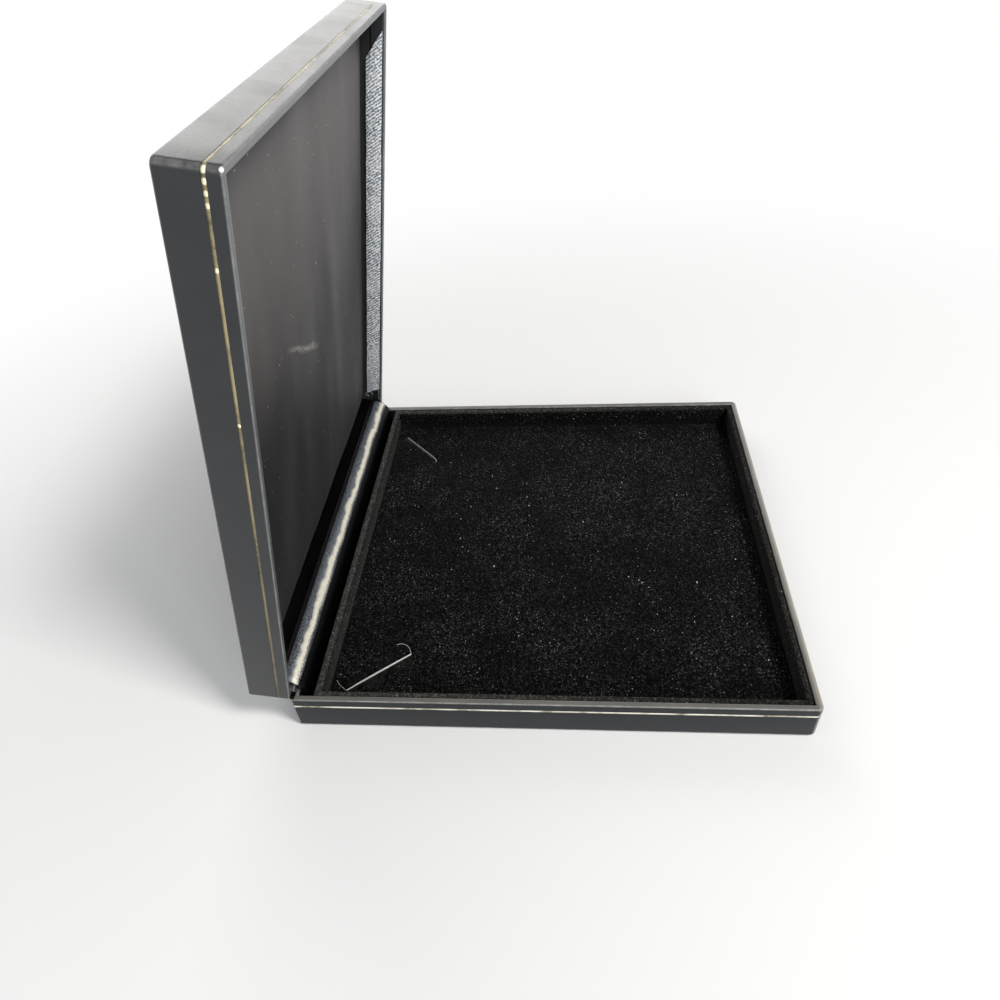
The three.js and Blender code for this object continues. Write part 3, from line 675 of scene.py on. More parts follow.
# Paler at the rim, more towards the hinge: partly wear, partly painted sheen.
at_rim = velvet.step(pile_z + tips * 1.5 * MM, 14.6 * MM, 16.4 * MM)
at_rim = at_rim * (0.35 + 0.65 * velvet.step(pile_y, -80 * MM, 60 * MM))
wear_and_sheen = at_rim * (0.25 + 0.6 * velvet.step(tips, 0.45, 0.62))
pile = velvet.step(tips, 0.47, 0.66) * (0.6 + 0.4 * brushed)
shade = velvet.mix(pile, srgb(2, 2, 2), srgb(47, 47, 46))
for share, colour in (
    (wear_and_sheen, srgb(88, 87, 82)), (glints * (brushed * 0.85 + 0.15), srgb(126, 126, 124)),
    (sparks, srgb(170, 170, 167)), (lint, srgb(225, 225, 222)),
):
    shade = velvet.mix(share, shade, colour)
velvet.feed("Base Color", shade)
velvet.raise_by(tips * 0.85 + brushed * 0.15, 0.4)

frame_low, frame_high = (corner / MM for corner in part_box("tray_frame_velvet"))
tray_frame = block("tray_frame", frame_low, frame_high)
round_uprights()
open_face(frame_low.z)
open_face(frame_high.z)
fold_in(frame_high.z, FRAME_WALL)
extrude((0, 0, frame_low.z - frame_high.z))
pick("EDGE", lambda edge: is_crease(edge, frame_high.z))
bevel(FRAME_BEND, BEND_STEPS)
for axis, shift in ((0, 0.5), (1, -2.4)):
    cut_rows(axis, shift - 10 * FRAME_STEP, FRAME_STEP, 21)


def sag(place):
    if place.z > frame_high.z - FRAME_SOFT:
        place.z -= FRAME_SAG * (1 + noise.noise(place * 0.045))
    return place


move_points(sag)
close_skin(tray_frame, velvet, VELVET)
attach(tray_frame, "base")
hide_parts("tray_frame_velvet")


# The pad in the tray: velvet over card on thin foam. Near each hinge corner a tongue is cut through
# velvet and card to tuck a necklace's end under. The near tongue has sprung up, the far one sunk.
PAD_TOP = 6
PAD_FOOT = 2.9
PAD_BEND = 0.5
PAD_CORNER = 1.2
PAD_VELVET = 0.42
PAD_STEP = 9.5
PAD_SWELL = 0.15
CARD = 1.2
CARD_IN = 0.7
CARD_DOWN = 0.12
TONGUE_LENGTH = {-1: 28.8, 1: 26.2}
TONGUE_ARM = 6.2
TONGUE_LEAN = 1.4
TONGUE_TURN = {-1: math.radians(52.4), 1: math.radians(43)}
TONGUE_CORNER = {-1: (-83.4, 79.2), 1: (79.6, 80.2)}
TONGUE_LIFT = {-1: 1.1, 1: -0.55}
SLIT_DRAW = {-1: 0.2, 1: 0.15}


def tongue_axes(side):
    """The tongue's first corner, the way along its slit and the way up its arms."""
    corner = Vector((*TONGUE_CORNER[side], 0))
    along = Vector((-side * math.cos(TONGUE_TURN[side]), -math.sin(TONGUE_TURN[side]), 0))
    across = Vector((-side * math.sin(TONGUE_TURN[side]), math.cos(TONGUE_TURN[side]), 0))
    return corner, along, across


def on_tongue(side, place):
    """How far a place is along the slit and up the arms, in millimetres, the lean taken out."""
    corner, along, across = tongue_axes(side)
    rise = (place - corner).dot(across)
    lean = TONGUE_LEAN * rise / TONGUE_ARM
    run = (place - corner).dot(along)
    return run, rise, run + lean, run - lean


def cut_tongue(side):
    """Cuts one tongue free on three sides and bends it up or down from its root."""
    corner, along, across = tongue_axes(side)
    length = TONGUE_LENGTH[side]
    for rise in (0, 0.6, 1.6, 2.8, 4.2, TONGUE_ARM):
        cut(corner + across * rise, across)
    for run in range(3, 27, 3):
        cut(corner + along * run, along)
    cut(corner, across * TONGUE_LEAN + along * TONGUE_ARM)
    cut(corner + along * length, across * -TONGUE_LEAN + along * TONGUE_ARM)

    def on_slit(edge):
        for end in edge.verts:
            place = end.co / MM
            rise = on_tongue(side, place)[1]
            if place.z < (PAD_TOP + PAD_FOOT) / 2 or not -HAIR < rise < TONGUE_ARM + HAIR:
                return False
        _, rise, first, last = on_tongue(side, spot(edge))
        if rise < HAIR:
            return -HAIR < first and last < length + HAIR
        return min(abs(first), abs(last - length)) < HAIR

    def on_flap(face):
        _, rise, first, last = on_tongue(side, spot(face))
        return abs(face.normal.z) > 0.5 and 0 < rise < TONGUE_ARM and first > 0 and last < length

    def sprung(place):
        run, rise, _, _ = on_tongue(side, place)
        share = min(1, max(0, 1 - rise / TONGUE_ARM))
        bow = 0.8 + 0.2 * math.sin(math.pi * run / length)
        lift = Vector((0, 0, TONGUE_LIFT[side] * share ** 1.3 * bow))
        return place + lift + across * SLIT_DRAW[side] * share

    pick("EDGE", on_slit)
    bpy.ops.mesh.edge_split(type="EDGE")
    pick("FACE", on_flap)
    move_points(sprung, picked=True)


pad_low, pad_high = (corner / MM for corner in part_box("pad_velvet"))
pad_cover = block("pad_cover", (pad_low.x, pad_low.y, PAD_FOOT), (pad_high.x, pad_high.y, PAD_TOP))
open_face(PAD_FOOT)
pick("EDGE", is_upright)
bevel(PAD_CORNER, 4)
pick("EDGE", lambda edge: is_crease(edge, PAD_TOP))
bevel(PAD_BEND, 4)
for axis, shift in ((0, 0), (1, -2.4)):
    cut_rows(axis, shift - 9 * PAD_STEP, PAD_STEP, 19)


def swell(place):
    if place.z > PAD_TOP - HAIR:
        place.z += PAD_SWELL * noise.noise(place * 0.028)
    return place


move_points(swell)
for side in (-1, 1):
    cut_tongue(side)
close_skin(pad_cover, velvet, PAD_VELVET)
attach(pad_cover, "base")
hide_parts("pad_velvet")

white_card = Finish("pulp_card", {"Roughness": 0.85})
card_fibre = white_card.noise(white_card.turned(scale=(1, 1, 4)), 0.5, 4, 0.7)
white_card.feed("Base Color", white_card.mix(card_fibre, srgb(190, 188, 182), srgb(244, 244, 240)))
white_card.raise_by(card_fibre, 0.06)
card_top = PAD_TOP - PAD_VELVET - CARD_DOWN
card_in = Vector((CARD_IN, CARD_IN, 0))
pad_card = block(
    "pad_card", (*(pad_low + card_in).xy, card_top - CARD), (*(pad_high - card_in).xy, card_top)
)
pick("FACE", lambda face: face.normal.z < MOSTLY)
bpy.ops.mesh.delete(type="FACE")
for side in (-1, 1):
    cut_tongue(side)
close_skin(pad_card, white_card, CARD)
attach(pad_card, "base")
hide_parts("pad_board")

SLIVERS = {
    "pad_sliver_near_slit": (-1, 0.42, [
        (0, -0.3, 0.7), (4, -0.3, 1), (10, -0.4, 1.3), (18, -0.4, 1.3), (24, -0.3, 1.1),
        (28.8, -0.2, 0.8),
    ]),
    "pad_sliver_near_left": (-1, 0.13, [
        (0, -0.3, 0.6), (-0.9, 2.2, 0.7), (-1.2, 4.6, 0.6), (-1.1, 6.4, 0.4),
    ]),
    "pad_sliver_near_right": (-1, 0.15, [
        (28.8, -0.2, 0.8), (29.9, 2.8, 0.9), (29.2, 5.4, 0.8), (27.8, 7.3, 0.6), (26.3, 7.6, 0.4),
    ]),
    "pad_sliver_far_slit": (1, 0.24, [
        (-0.3, 0.3, 0.3), (1, 0, 0.3), (9, 0, 0.3), (18, -0.1, 0.3), (25, 0, 0.3),
        (27.2, 0.5, 0.3), (27.6, 1.2, 0.2),
    ]),
}


def select_only(piece):
    bpy.ops.object.select_all(action="DESELECT")
    piece.select_set(True)
    bpy.context.view_layer.objects.active = piece


def thread(name, width, places):
    """A thread or a torn sliver: a thin round line through places in millimetres."""
    path = bpy.data.curves.new(name, "CURVE")
    path.dimensions = "3D"
    path.bevel_depth = width / 2 * MM
    path.bevel_resolution = 1
    path.use_fill_caps = True
    line = path.splines.new("NURBS")
    line.points.add(len(places) - 1)
    for point, place in zip(line.points, places):
        point.co = (*[value * MM for value in place], 1)
    line.order_u = 3
    line.use_endpoint_u = True
    line.resolution_u = 3
    piece = bpy.data.objects.new(name, path)
    bpy.context.collection.objects.link(piece)
    select_only(piece)
    bpy.ops.object.convert(target="MESH")
    bpy.ops.object.mode_set(mode="EDIT")
    return piece


for name, (side, width, places) in SLIVERS.items():
    corner, along, across = tongue_axes(side)
    places = [corner + along * run + across * rise + Vector((0, 0, PAD_TOP + height))
              for run, rise, height in places]
    piece = thread(name, width, places)
    close_piece(piece, white_card, 80)
    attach(piece, "base")

FOAM_IN = 0.2
FOAM_BEND = 0.35

pad_foam = Finish("dark_foam", {"Roughness": 1})
foam_cells = pad_foam.node("ShaderNodeTexVoronoi", {}, {"Vector": pad_foam.place, "Scale": 1600})
pad_foam.feed("Base Color", pad_foam.mix(foam_cells, srgb(30, 30, 31), srgb(70, 70, 71)))
pad_foam.raise_by(foam_cells, 0.2)
foam_low, foam_high = (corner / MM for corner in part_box("pad_foam"))
foam_in = Vector((FOAM_IN, FOAM_IN, 0))
pad_bed = block("pad_foam_bed", foam_low + foam_in, foam_high - foam_in)
pick("EDGE", lambda edge: not is_upright(edge))
bevel(FOAM_BEND, 3)
close_piece(pad_bed, pad_foam)
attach(pad_bed, "base")
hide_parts("pad_foam")
dress("tray_frame_card", white_card)


# The case hinges: two steel leaves each, rolled into knuckles round a pin and tacked to the boards.
# The steel is bright from the press, with faint rolling lines and grey stains.
hinge_steel = Finish("pressed_steel", {"Metallic": 1})
rolling = hinge_steel.noise(hinge_steel.turned(scale=(0.08, 1, 1)), 0.5, 4, 0.6)
stains = hinge_steel.noise(hinge_steel.place, 5, 5, 0.65)
hinge_steel.feed("Base Color", hinge_steel.mix(stains, srgb(148, 148, 145), srgb(202, 202, 198)))
hinge_steel.feed("Roughness", stains * 0.2 + rolling * 0.16 + 0.2)
hinge_steel.raise_by(rolling, 0.03)
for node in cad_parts:
    if "_leaf_" in node or "_pin_" in node or "_tack_" in node:
        dress(node, hinge_steel)


# The bow springs: four strips of blued spring steel hooked through the leaves, which snap the lid
# open or shut. They are shaped bent between base and lid, as the lid stands open.
OPEN = math.radians(79.8)
BOW_FACE = 4.1
BOW_WIDTH = 5
BOW_REACH = 8
BOW_SHEET = 0.4
BOW_HOOK = 1.2
BOW_OFFSET = 15
BOW_STEPS = 10
BOW_EDGE = 0.1
LID_ALONG = Vector((0, math.sin(OPEN), math.cos(OPEN)))
LID_INWARD = Vector((0, -math.cos(OPEN), math.sin(OPEN)))

spring_steel = Finish("blued_spring_steel", {"Metallic": 1})
tempering = spring_steel.noise(spring_steel.turned(scale=(1, 0.3, 0.3)), 3, 4, 0.6)
spring_steel.feed("Base Color", spring_steel.mix(tempering, srgb(70, 76, 88), srgb(128, 128, 126)))
spring_steel.feed("Roughness", tempering * 0.2 + 0.22)
spring_steel.raise_by(tempering, 0.03)
for centre, side in zip(HINGE_CENTRES, ("left", "right")):
    for place in ("outer", "inner"):
        away = BOW_OFFSET if (centre > 0) == (place == "outer") else -BOW_OFFSET
        middle = HINGE_AXIS + Vector((centre + away, -BOW_FACE, -BOW_REACH / 2))
        bpy.ops.object.select_all(action="DESELECT")
        bpy.ops.mesh.primitive_plane_add(
            size=1, location=middle * MM, rotation=(math.pi / 2, 0, 0)
        )
        bpy.context.object.scale = (BOW_WIDTH * MM, BOW_REACH * MM, 1)
        spring = open_piece(f"bow_spring_{side}_{place}_strip")
        pick("EDGE", lambda edge: abs(spot(edge).z - HINGE_AXIS.z) < HAIR)
        bpy.ops.mesh.spin(steps=BOW_STEPS, angle=OPEN, center=HINGE_AXIS * MM, axis=(1, 0, 0))
        extrude(LID_ALONG * BOW_REACH)
        extrude(-LID_INWARD * BOW_HOOK)
        pick("EDGE", lambda edge: spot(edge).z < HINGE_AXIS.z - BOW_REACH + HAIR)
        extrude((0, BOW_HOOK, 0))
        bpy.ops.mesh.select_all(action="SELECT")
        bpy.ops.mesh.remove_doubles(threshold=HAIR * MM)
        face_out()
        close_skin(spring, spring_steel, BOW_SHEET, 0)
        apply(spring, "BEVEL", width=BOW_EDGE * MM, segments=2, limit_method="ANGLE")
        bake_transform(spring)
        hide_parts(f"bow_spring_{side}_{place}")


# The satin over the hinge: a band of silver-grey lining satin drawn over the hinge in a soft roll,
# tucked under the lid's rear lining; its dark colour is painted shade and its pale band a painted
# highlight. An apron of black lining hangs from it and hides the springs: a dark sheet of painted
# shade in the channel.
BAND_HALF = 91.1
BAND_COLUMNS = 90
ROLL_MIDDLE = (96.2, 20.1)
ROLL_RADIUS = 3.3
ROLL_ARC = range(84, -45, -8)
ROLL_TUCK = [(91.6, 17.4), (92.1, 18.85), (92.62, 19.6)]
ROLL_TAIL = [(100.9, 22.75), (103.4, 23.2)]
ROLL_END = 2
ROLL_CLOTH = 0.35
ROLL_SWELL = 0.55
ROLL_PUCKER = 0.3
ROLL_PINCH = 0.9
ROLL_FULLEST = 30
ROLL_HEM = [
    (91.4, 98.6, 21.6), (91.6, 96.2, 22.6), (91.8, 93.9, 21.2), (91.7, 92.6, 18.9),
    (91.4, 91.1, 16.8),
]
ROLL_HEM_WIDTH = 0.3
APRON_FOOT = [(91.15, height) for height in (3.2, 6.5, 10, 13.3)]
APRON_RADIUS = 4.85
APRON_ARC = range(90, 31, -6)


def satin(name, dark, light, pitch, ribbed, lean, turn, metallic, highlight_and_shade=None):
    """Lining satin: a fine steep twill whose floats show as bright specks, glints painted in its
    colour.

    Where a band is given, by four Y values, a highlight is painted between the middle two, and the
    specks are painted out into shade on the side before it, which is turned to the tray."""
    finish = Finish(name, {
        "Metallic": metallic, "Specular IOR Level": 0.08 + metallic, "Anisotropic": 0.4,
        "Sheen Weight": 0.3 * metallic, "Sheen Roughness": 0.3, "Sheen Tint": (0.92, 0.95, 1, 1),
    })
    place = finish.turned((turn, 0, 0))
    x, y, z = finish.apart(place)
    waver = finish.noise(place, 3 * pitch, 2, 0.5)
    phase = (x * lean[0] + y * lean[1] + z * lean[2]) * (2 * math.pi / (pitch * MM)) + waver * 5
    ribs = phase.sine() * 0.5 + 0.5
    floats = finish.noise(place, pitch * 0.7, 3, 0.75)
    glints = finish.step(ribs * ribbed + floats * (1.4 - ribbed), 0.58, 0.84)
    folds = finish.step(finish.noise(place, 17, 3, 0.5), 0.45, 0.7) * 0.25
    if highlight_and_shade:
        sway = (finish.noise(place, 14, 3, 0.6) * 3.2 + floats * 2.8 - 3) * MM
        low, full, past, high = [value * MM for value in highlight_and_shade]
        ragged = sway + (finish.noise(place, 4.5, 2, 0.5) - 0.5) * 2.4 * MM
        # A painted highlight between the middle two values.
        rubbed_and_highlights = finish.step(y + sway * 0.4, low, full) * (1 - finish.step(y + ragged, past, high))
        rubbed_and_highlights = rubbed_and_highlights * (0.3 + 1.1 * floats)
        # Painted shade: no specks on the side turned to the tray.
        glints = glints * finish.step(y + sway * 0.4, low - 0.6 * MM, full)
        folds = folds * glints
    shade = finish.mix(glints, dark, light)
    shade = finish.mix(folds, shade, light)
    if highlight_and_shade:
        shade = finish.mix(rubbed_and_highlights, shade, srgb(236, 230, 210))
    finish.feed("Base Color", shade)
    finish.feed("Roughness", 0.42 - glints * 0.14)
    finish.raise_by(ribs * ribbed + floats * (1 - ribbed), 0.2)
    return finish


def on_arc(middle, radius, degrees):
    """A place on an arc round a middle, by its angle from straight up towards the tray."""
    angle = math.radians(degrees)
    return middle[0] - radius * math.sin(angle), middle[1] + radius * math.cos(angle)


def band(name, low, high, columns, places):
    """Cloth from low to high along the hinge, pulled from place to place across it."""
    bpy.ops.object.select_all(action="DESELECT")
    bpy.ops.mesh.primitive_grid_add(
        x_subdivisions=columns, y_subdivisions=1, size=1,
        location=((low + high) / 2 * MM, (places[0][0] - 0.5) * MM, places[0][1] * MM),
    )
    bpy.context.object.scale = ((high - low) * MM, MM, 1)
    piece = open_piece(name)
    pick("VERT", lambda point: spot(point).y < places[0][0] - 0.5)
    bpy.ops.mesh.delete(type="VERT")
    bpy.ops.mesh.select_mode(type="EDGE")
    bpy.ops.mesh.select_all(action="SELECT")
    for last, place in zip(places, places[1:]):
        extrude((0, place[0] - last[0], place[1] - last[1]))
    face_out()
    return piece


def finish_band(piece, finish):
    """Smooths a band, gives it its thickness and hides the CAD roll."""
    close_piece(piece, finish, 80)
    apply(piece, "SUBSURF", levels=1, render_levels=1)
    apply(piece, "SOLIDIFY", thickness=ROLL_CLOTH * MM, offset=0)
    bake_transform(piece)
    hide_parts("hinge_satin_roll")


silver_satin = satin(
    "silver_satin", srgb(96, 108, 122), srgb(254, 255, 255), 1.1, 0.2, (0.7, -0.79, 0.62), OPEN,
    0.2,
)
# The roll is a darker copy of the silver satin: painted shade, with a painted highlight on top.
roll_satin_painted_light = satin(
    "roll_satin_painted_light", srgb(7, 8, 11), srgb(158, 165, 174), 0.7, 0.05, (1, 0.4, 0.6), 0.0, 0.15,
    (92.75, 93.6, 94.25, 95.3),
)
# Near black: the apron of it is a sheet of painted shade; on the rear strip its darkness is partly
# painted shade.
black_lining_and_shade = satin(
    "black_lining_and_shade", srgb(1, 1, 1), srgb(9, 9, 10), 0.8, 0.05, (1, 0.3, 0.4), OPEN, 0.0
)
roll_arc = [on_arc(ROLL_MIDDLE, ROLL_RADIUS, degrees) for degrees in ROLL_ARC]
roll_places = ROLL_TUCK + roll_arc + ROLL_TAIL
hinge_roll = band("hinge_roll", -BAND_HALF, BAND_HALF, BAND_COLUMNS, roll_places)


def puff_roll(place):
    arm = Vector((0, place.y - ROLL_MIDDLE[0], place.z - ROLL_MIDDLE[1]))
    turn = math.degrees(math.atan2(-arm.y, arm.z))
    bulge = max(0, math.cos(math.radians(turn - ROLL_FULLEST) * 1.3))
    slow = noise.noise(Vector((place.x / 19, turn / 90, 3.1)))
    quick = noise.noise(Vector((place.x / 6, turn / 50, 7.7)))
    end = max(0, (abs(place.x) - (BAND_HALF - ROLL_END)) / ROLL_END)
    swell = ROLL_SWELL * slow + ROLL_PUCKER * quick - ROLL_PINCH * end ** 2
    return place + arm.normalized() * bulge * swell


move_points(puff_roll)
finish_band(hinge_roll, roll_satin_painted_light)

for side, end in ((-1, "near"), (1, "far")):
    hem_places = [(side * x, y, z) for x, y, z in ROLL_HEM]
    roll_hem = thread(f"hinge_roll_hem_{end}", ROLL_HEM_WIDTH, hem_places)
    close_piece(roll_hem, black_lining_and_shade, 80)
    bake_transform(roll_hem)

apron_arc = [
    on_arc((HINGE_AXIS.y, HINGE_AXIS.z), APRON_RADIUS, degrees) for degrees in APRON_ARC
]
apron_places = APRON_FOOT + apron_arc
# The apron: a dark sheet of painted shade in the channel.
hinge_shade_apron = band("hinge_shade_apron", -BAND_HALF, BAND_HALF, BAND_COLUMNS, apron_places)
finish_band(hinge_shade_apron, black_lining_and_shade)


# The straps: at each end of the hinge a narrow strip of black lining runs on from the base's rim
# to the lid's, and closes the gap between the two shells.
STRAP_SPAN = (91.4, 94.7)
STRAP_SHEET = 0.12
STRAP_PLACES = [(94.6, 16.52), (95.6, 16.53), (95.98, 16.6), (96.02, 16.85), (95.84, 17.99)]

for side, end in ((-1, "near"), (1, "far")):
    low, high = sorted(side * x for x in STRAP_SPAN)
    strap = band(f"hinge_strap_{end}", low, high, 1, STRAP_PLACES)
    close_skin(strap, black_lining_and_shade, STRAP_SHEET, 0, 80)
    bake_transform(strap)


# The leatherette on the lid: the same sheet as on the base, glued over the whole top and turned
# down further inside the walls. The lid is worked shut and then turned open about the hinge pins.
LID_FAR = 32.0
LID_RIM = 16.75
LID_TURN_IN = 6


def turn_open(piece):
    """Turns a piece that was worked in the shut lid to where the lid stands open."""
    select_only(piece)
    bpy.ops.object.mode_set(mode="EDIT")
    bpy.ops.mesh.select_all(action="SELECT")
    bpy.ops.transform.rotate(value=OPEN, orient_axis="X", center_override=HINGE_AXIS * MM)
    bpy.ops.object.mode_set(mode="OBJECT")


SHUT_SHIFT = (HINGE_AXIS - Matrix.Rotation(OPEN, 3, "X") @ HINGE_AXIS) * MM
lid_leather = leatherette(
    "lid_leatherette", 0.52, 0.22, 0.4, LID_RIM, srgb(92, 94, 95), srgb(100, 102, 103),
    [(-94.4, -95.4, 17.0, 0.85)], OPEN, SHUT_SHIFT,
)
lid_cover = wrap_walls("lid_cover", LID_FAR, LID_RIM, LID_TURN_IN, None)
notch_for_hinges(LID_RIM, NOTCH_DEPTH - NOTCH_LEFT)
close_skin(lid_cover, lid_leather, SKIN)
turn_open(lid_cover)
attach(lid_cover, "lid")
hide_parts("lid_leatherette")


# The gilt line on the lid: the same foil at the same distance from the rim, so that the two lines
# run side by side when the box is shut. It is duller here, with beads where the foil is thick; the
# beads and the spot at its front corner are painted glints, and it is painted into shade towards
# the hinge.
LID_LINE = LID_RIM + GILT_DROP
# The first spot, at the front corner, is a painted glint; the others are beads painted pale.
BRIGHT_SPOTS = ((0.7, 1.3), (3.4, 0.9), (5.9, 0.8), (8.5, 0.8), (23, 0.8), (66, 0.7))

gilt_bright_spots = [(-BOX_HALF[0], -BOX_HALF[1] + drop, LID_LINE, reach) for drop, reach in BRIGHT_SPOTS]
lid_gold = gilding(
    "lid_gold_foil", srgb(128, 119, 91), srgb(164, 151, 114), 0.6, gilt_bright_spots, OPEN, SHUT_SHIFT
)
lid_gilding = gilt_band("lid_gilding", LID_LINE)
close_skin(lid_gilding, lid_gold, GILT_FOIL)
turn_open(lid_gilding)
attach(lid_gilding, "lid")
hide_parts("lid_gilt_line")


# The wall linings of the lid: strips of card covered in silver satin and glued inside the walls.
# The side strips are cut on a slant at both ends, and fray at the hinge. The long slant at the
# front end bares the dark wall as a painted shadow of the lid's front wall.
LINING_LOW = 17.8
LINING_HEIGHT = 6.8
LINING_OUT = 92.4
LINING_CARD = 1
LINING_START = 82
LINING_SLANT = 3.7
LINING_END = -76.6
# The front end's long slant bares the dark wall as a painted shadow.
LINING_SHADOW_SLANT = 10.2
FRONT_LINING = (-93.4, -92.4)
FRONT_LOW = 19.6
STRIP_BEND = 0.25
STRIP_WAVER = 0.22
STRIP_PUCKER = 0.12
STRIP_STEP = 2.9
FRONT_STEP = 2.98
THREAD = 0.14
FRAYED = (
    [(91.4, 82, 18.2), (91.2, 84.4, 17.9), (91.3, 86.6, 18.1), (91.1, 88.3, 17.7)],
    [(91.4, 85.6, 24.8), (91, 86.4, 25.3), (90.8, 86.2, 24.1), (90.9, 87.3, 22.9)],
    [(91.4, 84, 22.2), (91.1, 85.4, 21.9), (91.2, 86.1, 21)],
)


def soften_strip(seed):
    """Rounds the open strip and lets its edges waver a little, as pasted satin does."""

    def waver(place):
        edge = 1 if place.z > LINING_LOW + LINING_HEIGHT / 2 else -1
        drift = noise.noise(Vector((place.x / 14, place.y / 14, seed)))
        quick = noise.noise(Vector((place.x / 3.4, place.y / 3.4, seed + 5)))
        rise = STRIP_WAVER * drift + STRIP_PUCKER * (quick - 1)
        return place + Vector((0, 0, edge * rise))

    move_points(waver)
    pick("EDGE", is_corner)
    bevel(STRIP_BEND, 2)


for side, name in ((-1, "left"), (1, "right")):
    low, high = sorted((side * (LINING_OUT - LINING_CARD), side * LINING_OUT))
    strip = block(
        f"lid_{name}_strip",
        (low, LINING_END, LINING_LOW),
        (high, LINING_START, LINING_LOW + LINING_HEIGHT),
    )
    pick("VERT", lambda point: spot(point).y > 0 and spot(point).z > LINING_LOW + HAIR)
    bpy.ops.transform.translate(value=(0, LINING_SLANT * MM, 0))
    pick("VERT", lambda point: spot(point).y < 0 and spot(point).z < LINING_LOW + HAIR)
    bpy.ops.transform.translate(value=(0, -LINING_SHADOW_SLANT * MM, 0))
    cut_rows(1, LINING_END - 3 * STRIP_STEP, STRIP_STEP, 57)
    soften_strip(11 + side)
    close_piece(strip, silver_satin)
    turn_open(strip)
    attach(strip, "lid")
    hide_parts(f"lid_lining_{name}")
    for number, places in enumerate(FRAYED, 1):
        end = [(side * x, y, z) for x, y, z in places]
        frayed = thread(f"lid_{name}_strip_thread_{number}", THREAD, end)
        close_piece(frayed, silver_satin, 80)
        turn_open(frayed)
        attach(frayed, "lid")

front_strip = block(
    "lid_front_strip",
    (-LINING_OUT, FRONT_LINING[0], FRONT_LOW),
    (LINING_OUT, FRONT_LINING[1], FRONT_LOW + LINING_HEIGHT),
)
cut_rows(0, FRONT_STEP - LINING_OUT, FRONT_STEP, 61)
soften_strip(17)
close_piece(front_strip, silver_satin)
turn_open(front_strip)
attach(front_strip, "lid")
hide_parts("lid_lining_front")


# The rear lining: a strip of card in dark satin, folded over at its top edge. It is glued inside
# the lid's rear wall and stands behind the hinge roll. Its near-black colour is partly painted
# shade.
REAR_FACE = (89.4, 90.4)
REAR_LOW = 20.15
REAR_HEIGHT = 7
REAR_HALF = 91.3
REAR_FOLD = (0.9, 1.4, 1.9)
REAR_FOLD_RISE = 0.35
REAR_WAVER = 0.12
REAR_BEND = 0.32
REAR_STEP = 3.97

rear_strip = block(
    "lid_rear_strip",
    (-REAR_HALF, REAR_FACE[0], REAR_LOW),
    (REAR_HALF, REAR_FACE[1], REAR_LOW + REAR_HEIGHT),
)
pick("EDGE", is_corner)
bevel(REAR_BEND, 3)
cut_rows(0, REAR_STEP - REAR_HALF, REAR_STEP, 45)
for inset in REAR_FOLD:
    cut_rows(2, REAR_LOW + inset)


def fold_over(place):
    if place.y < REAR_FACE[0] + HAIR:
        on_fold = abs(place.z - REAR_LOW - REAR_FOLD[1]) < HAIR
        place.y -= REAR_WAVER * noise.noise(Vector((place.x / 12, place.z / 4, 2.5)))
        place.y -= REAR_FOLD_RISE if on_fold else 0
    return place


move_points(fold_over)
close_piece(rear_strip, black_lining_and_shade, 60)
turn_open(rear_strip)
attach(rear_strip, "lid")
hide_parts("lid_lining_rear")


# The lid pad: dark satin drawn over wadding on a board, so that it stands up softly between the
# linings. The satin pulls in slack folds that run down the lid.
PAD_HALF_X = 90.9
PAD_NEAR = 88.9
PAD_FAR = -91.9
PAD_BACK = 29.6
PAD_EDGE = 0.1
PAD_CROWN = 3.9
PAD_SQUARE = 12
PAD_PAINTED_LIGHT = (92, 198)
PAD_PAINTED_EDGE_SHADE = 9
PAD_FREE_EDGE = 201
PAD_LINT = (-14, 117.5, 25.5, 26)
PAD_GRID = 110
PAD_SLACK = 0.35

pad_satin = Finish("dark_pad_satin", {
    "IOR": 1.45, "Specular IOR Level": 0.4, "Sheen Weight": 0.04, "Sheen Roughness": 0.35,
    "Sheen Tint": (0.95, 0.9, 0.92, 1),
})
weft = pad_satin.noise(pad_satin.turned(scale=(1, 1, 4)), 0.8, 3, 0.6)
nap = pad_satin.noise(pad_satin.turned(scale=(1, 1, 0.5)), 30, 4, 0.5)
streak_place = pad_satin.turned((0, 0.1, 0), (1, 1, 0.18))
streaks = pad_satin.step(pad_satin.noise(streak_place, 24, 2, 0.4), 0.4, 0.7)
dust = pad_satin.step(pad_satin.noise(pad_satin.place, 0.9, 1, 0.3), 0.785, 0.8)
pad_x, _, pad_z = pad_satin.apart(pad_satin.place)
# Painted light: lighter up the lid as a painted reflection, darker along the near side and free
# edge as painted shade.
lit_low, lit_high = ((height + 30) * MM for height in PAD_PAINTED_LIGHT)
painted_light = pad_satin.step(pad_z + nap * 60 * MM, lit_low, lit_high)
for inward in (pad_x + PAD_HALF_X * MM, PAD_FREE_EDGE * MM - pad_z):
    painted_light = painted_light * pad_satin.step(inward + nap * 8 * MM, 4 * MM, (PAD_PAINTED_EDGE_SHADE + 4) * MM)
lint_turn = math.radians(PAD_LINT[2])
lint_x, lint_z = pad_x - PAD_LINT[0] * MM, pad_z - PAD_LINT[1] * MM
along = lint_x * math.cos(lint_turn) - lint_z * math.sin(lint_turn)
aside = lint_x * math.sin(lint_turn) + lint_z * math.cos(lint_turn)
fibre_place = pad_satin.node("ShaderNodeCombineXYZ", {}, {"X": along * 0.4, "Y": aside})
fluff = pad_satin.step(pad_satin.noise(fibre_place, 0.8, 4, 0.75), 0.38, 0.64)
waver = (pad_satin.noise(pad_satin.place, 12, 2, 0.5) - 0.5) * 5 * MM
lint = 1 - pad_satin.step((aside + waver).size(), 0.1 * MM, 1.9 * MM)
lint = lint * (1 - pad_satin.step(along.size(), 9 * MM, PAD_LINT[3] * MM)) * fluff
shade = pad_satin.mix(painted_light, srgb(4, 3, 3), srgb(75, 71, 70))
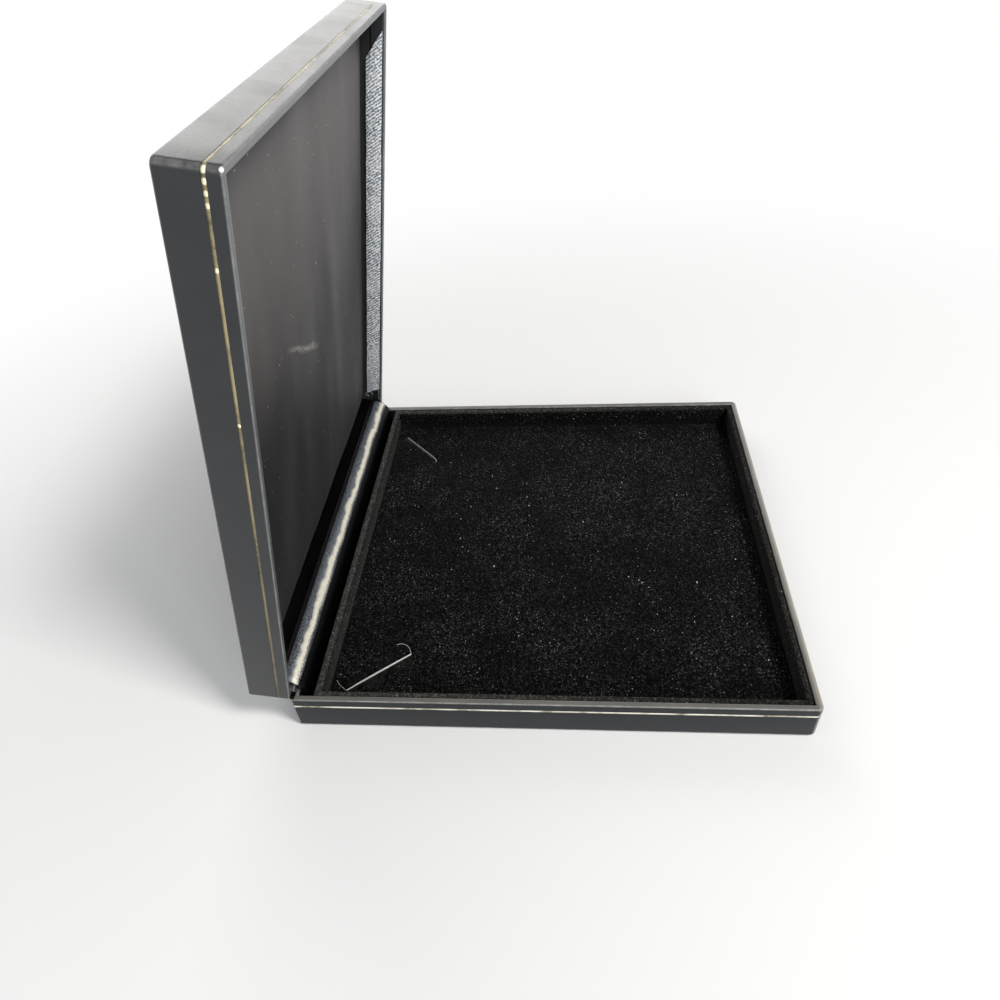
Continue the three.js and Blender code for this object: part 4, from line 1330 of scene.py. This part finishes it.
# Pale streaks: painted sheen, stronger where the painted light is.
shade = pad_satin.mix(streaks * (painted_light * 0.3 + 0.18), shade, srgb(70, 66, 65))
shade = pad_satin.mix(pad_satin.step(weft, 0.4, 0.8) * 0.2, shade, srgb(52, 49, 48))
shade = pad_satin.mix((lint * 0.5).most(dust * 0.9), shade, srgb(196, 192, 184))
pad_satin.feed("Base Color", shade)
pad_satin.feed("Roughness", 0.6 - painted_light * 0.1 - streaks * 0.06 + weft * 0.06)
pad_satin.raise_by(weft * 0.25 + streaks * 0.4, 0.15)

bpy.ops.object.select_all(action="DESELECT")
bpy.ops.mesh.primitive_grid_add(
    x_subdivisions=PAD_GRID, y_subdivisions=PAD_GRID, size=1,
    location=(0, (PAD_NEAR + PAD_FAR) / 2 * MM, PAD_BACK * MM),
)
bpy.context.object.scale = (2 * PAD_HALF_X * MM, (PAD_NEAR - PAD_FAR) * MM, 1)
lid_pad = open_piece("lid_pad")
pad_middle = (PAD_NEAR + PAD_FAR) / 2
pad_half_y = (PAD_NEAR - PAD_FAR) / 2


def puff_pad(place):
    across = math.sin(math.pi / 2 * place.x / PAD_HALF_X)
    down = math.sin(math.pi / 2 * (place.y - pad_middle) / pad_half_y)
    puff = 1.0
    for share in (across, down):
        puff *= max(0, 1 - abs(share) ** PAD_SQUARE) ** (1 / PAD_SQUARE)
    x, y = across * PAD_HALF_X, pad_middle + down * pad_half_y
    slack = noise.noise(Vector(((x + 0.3 * y) / 24, y / 95, 1.3)))
    slack += 0.4 * noise.noise(Vector(((x - 0.2 * y) / 11, y / 60, 5.9)))
    return Vector((x, y, PAD_BACK - (PAD_CROWN - PAD_SLACK * (1 - slack)) * puff))


move_points(puff_pad)
pick("EDGE", lambda edge: edge.is_boundary)
extrude((0, 0, PAD_EDGE))
bpy.ops.mesh.edge_face_add()
face_out()
close_piece(lid_pad, pad_satin, 60)
turn_open(lid_pad)
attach(lid_pad, "lid")
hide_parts("lid_pad_satin", "lid_pad_wadding")
dress("lid_pad_board", white_card)


# The size: the box round the finished pieces, in metres.
low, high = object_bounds()
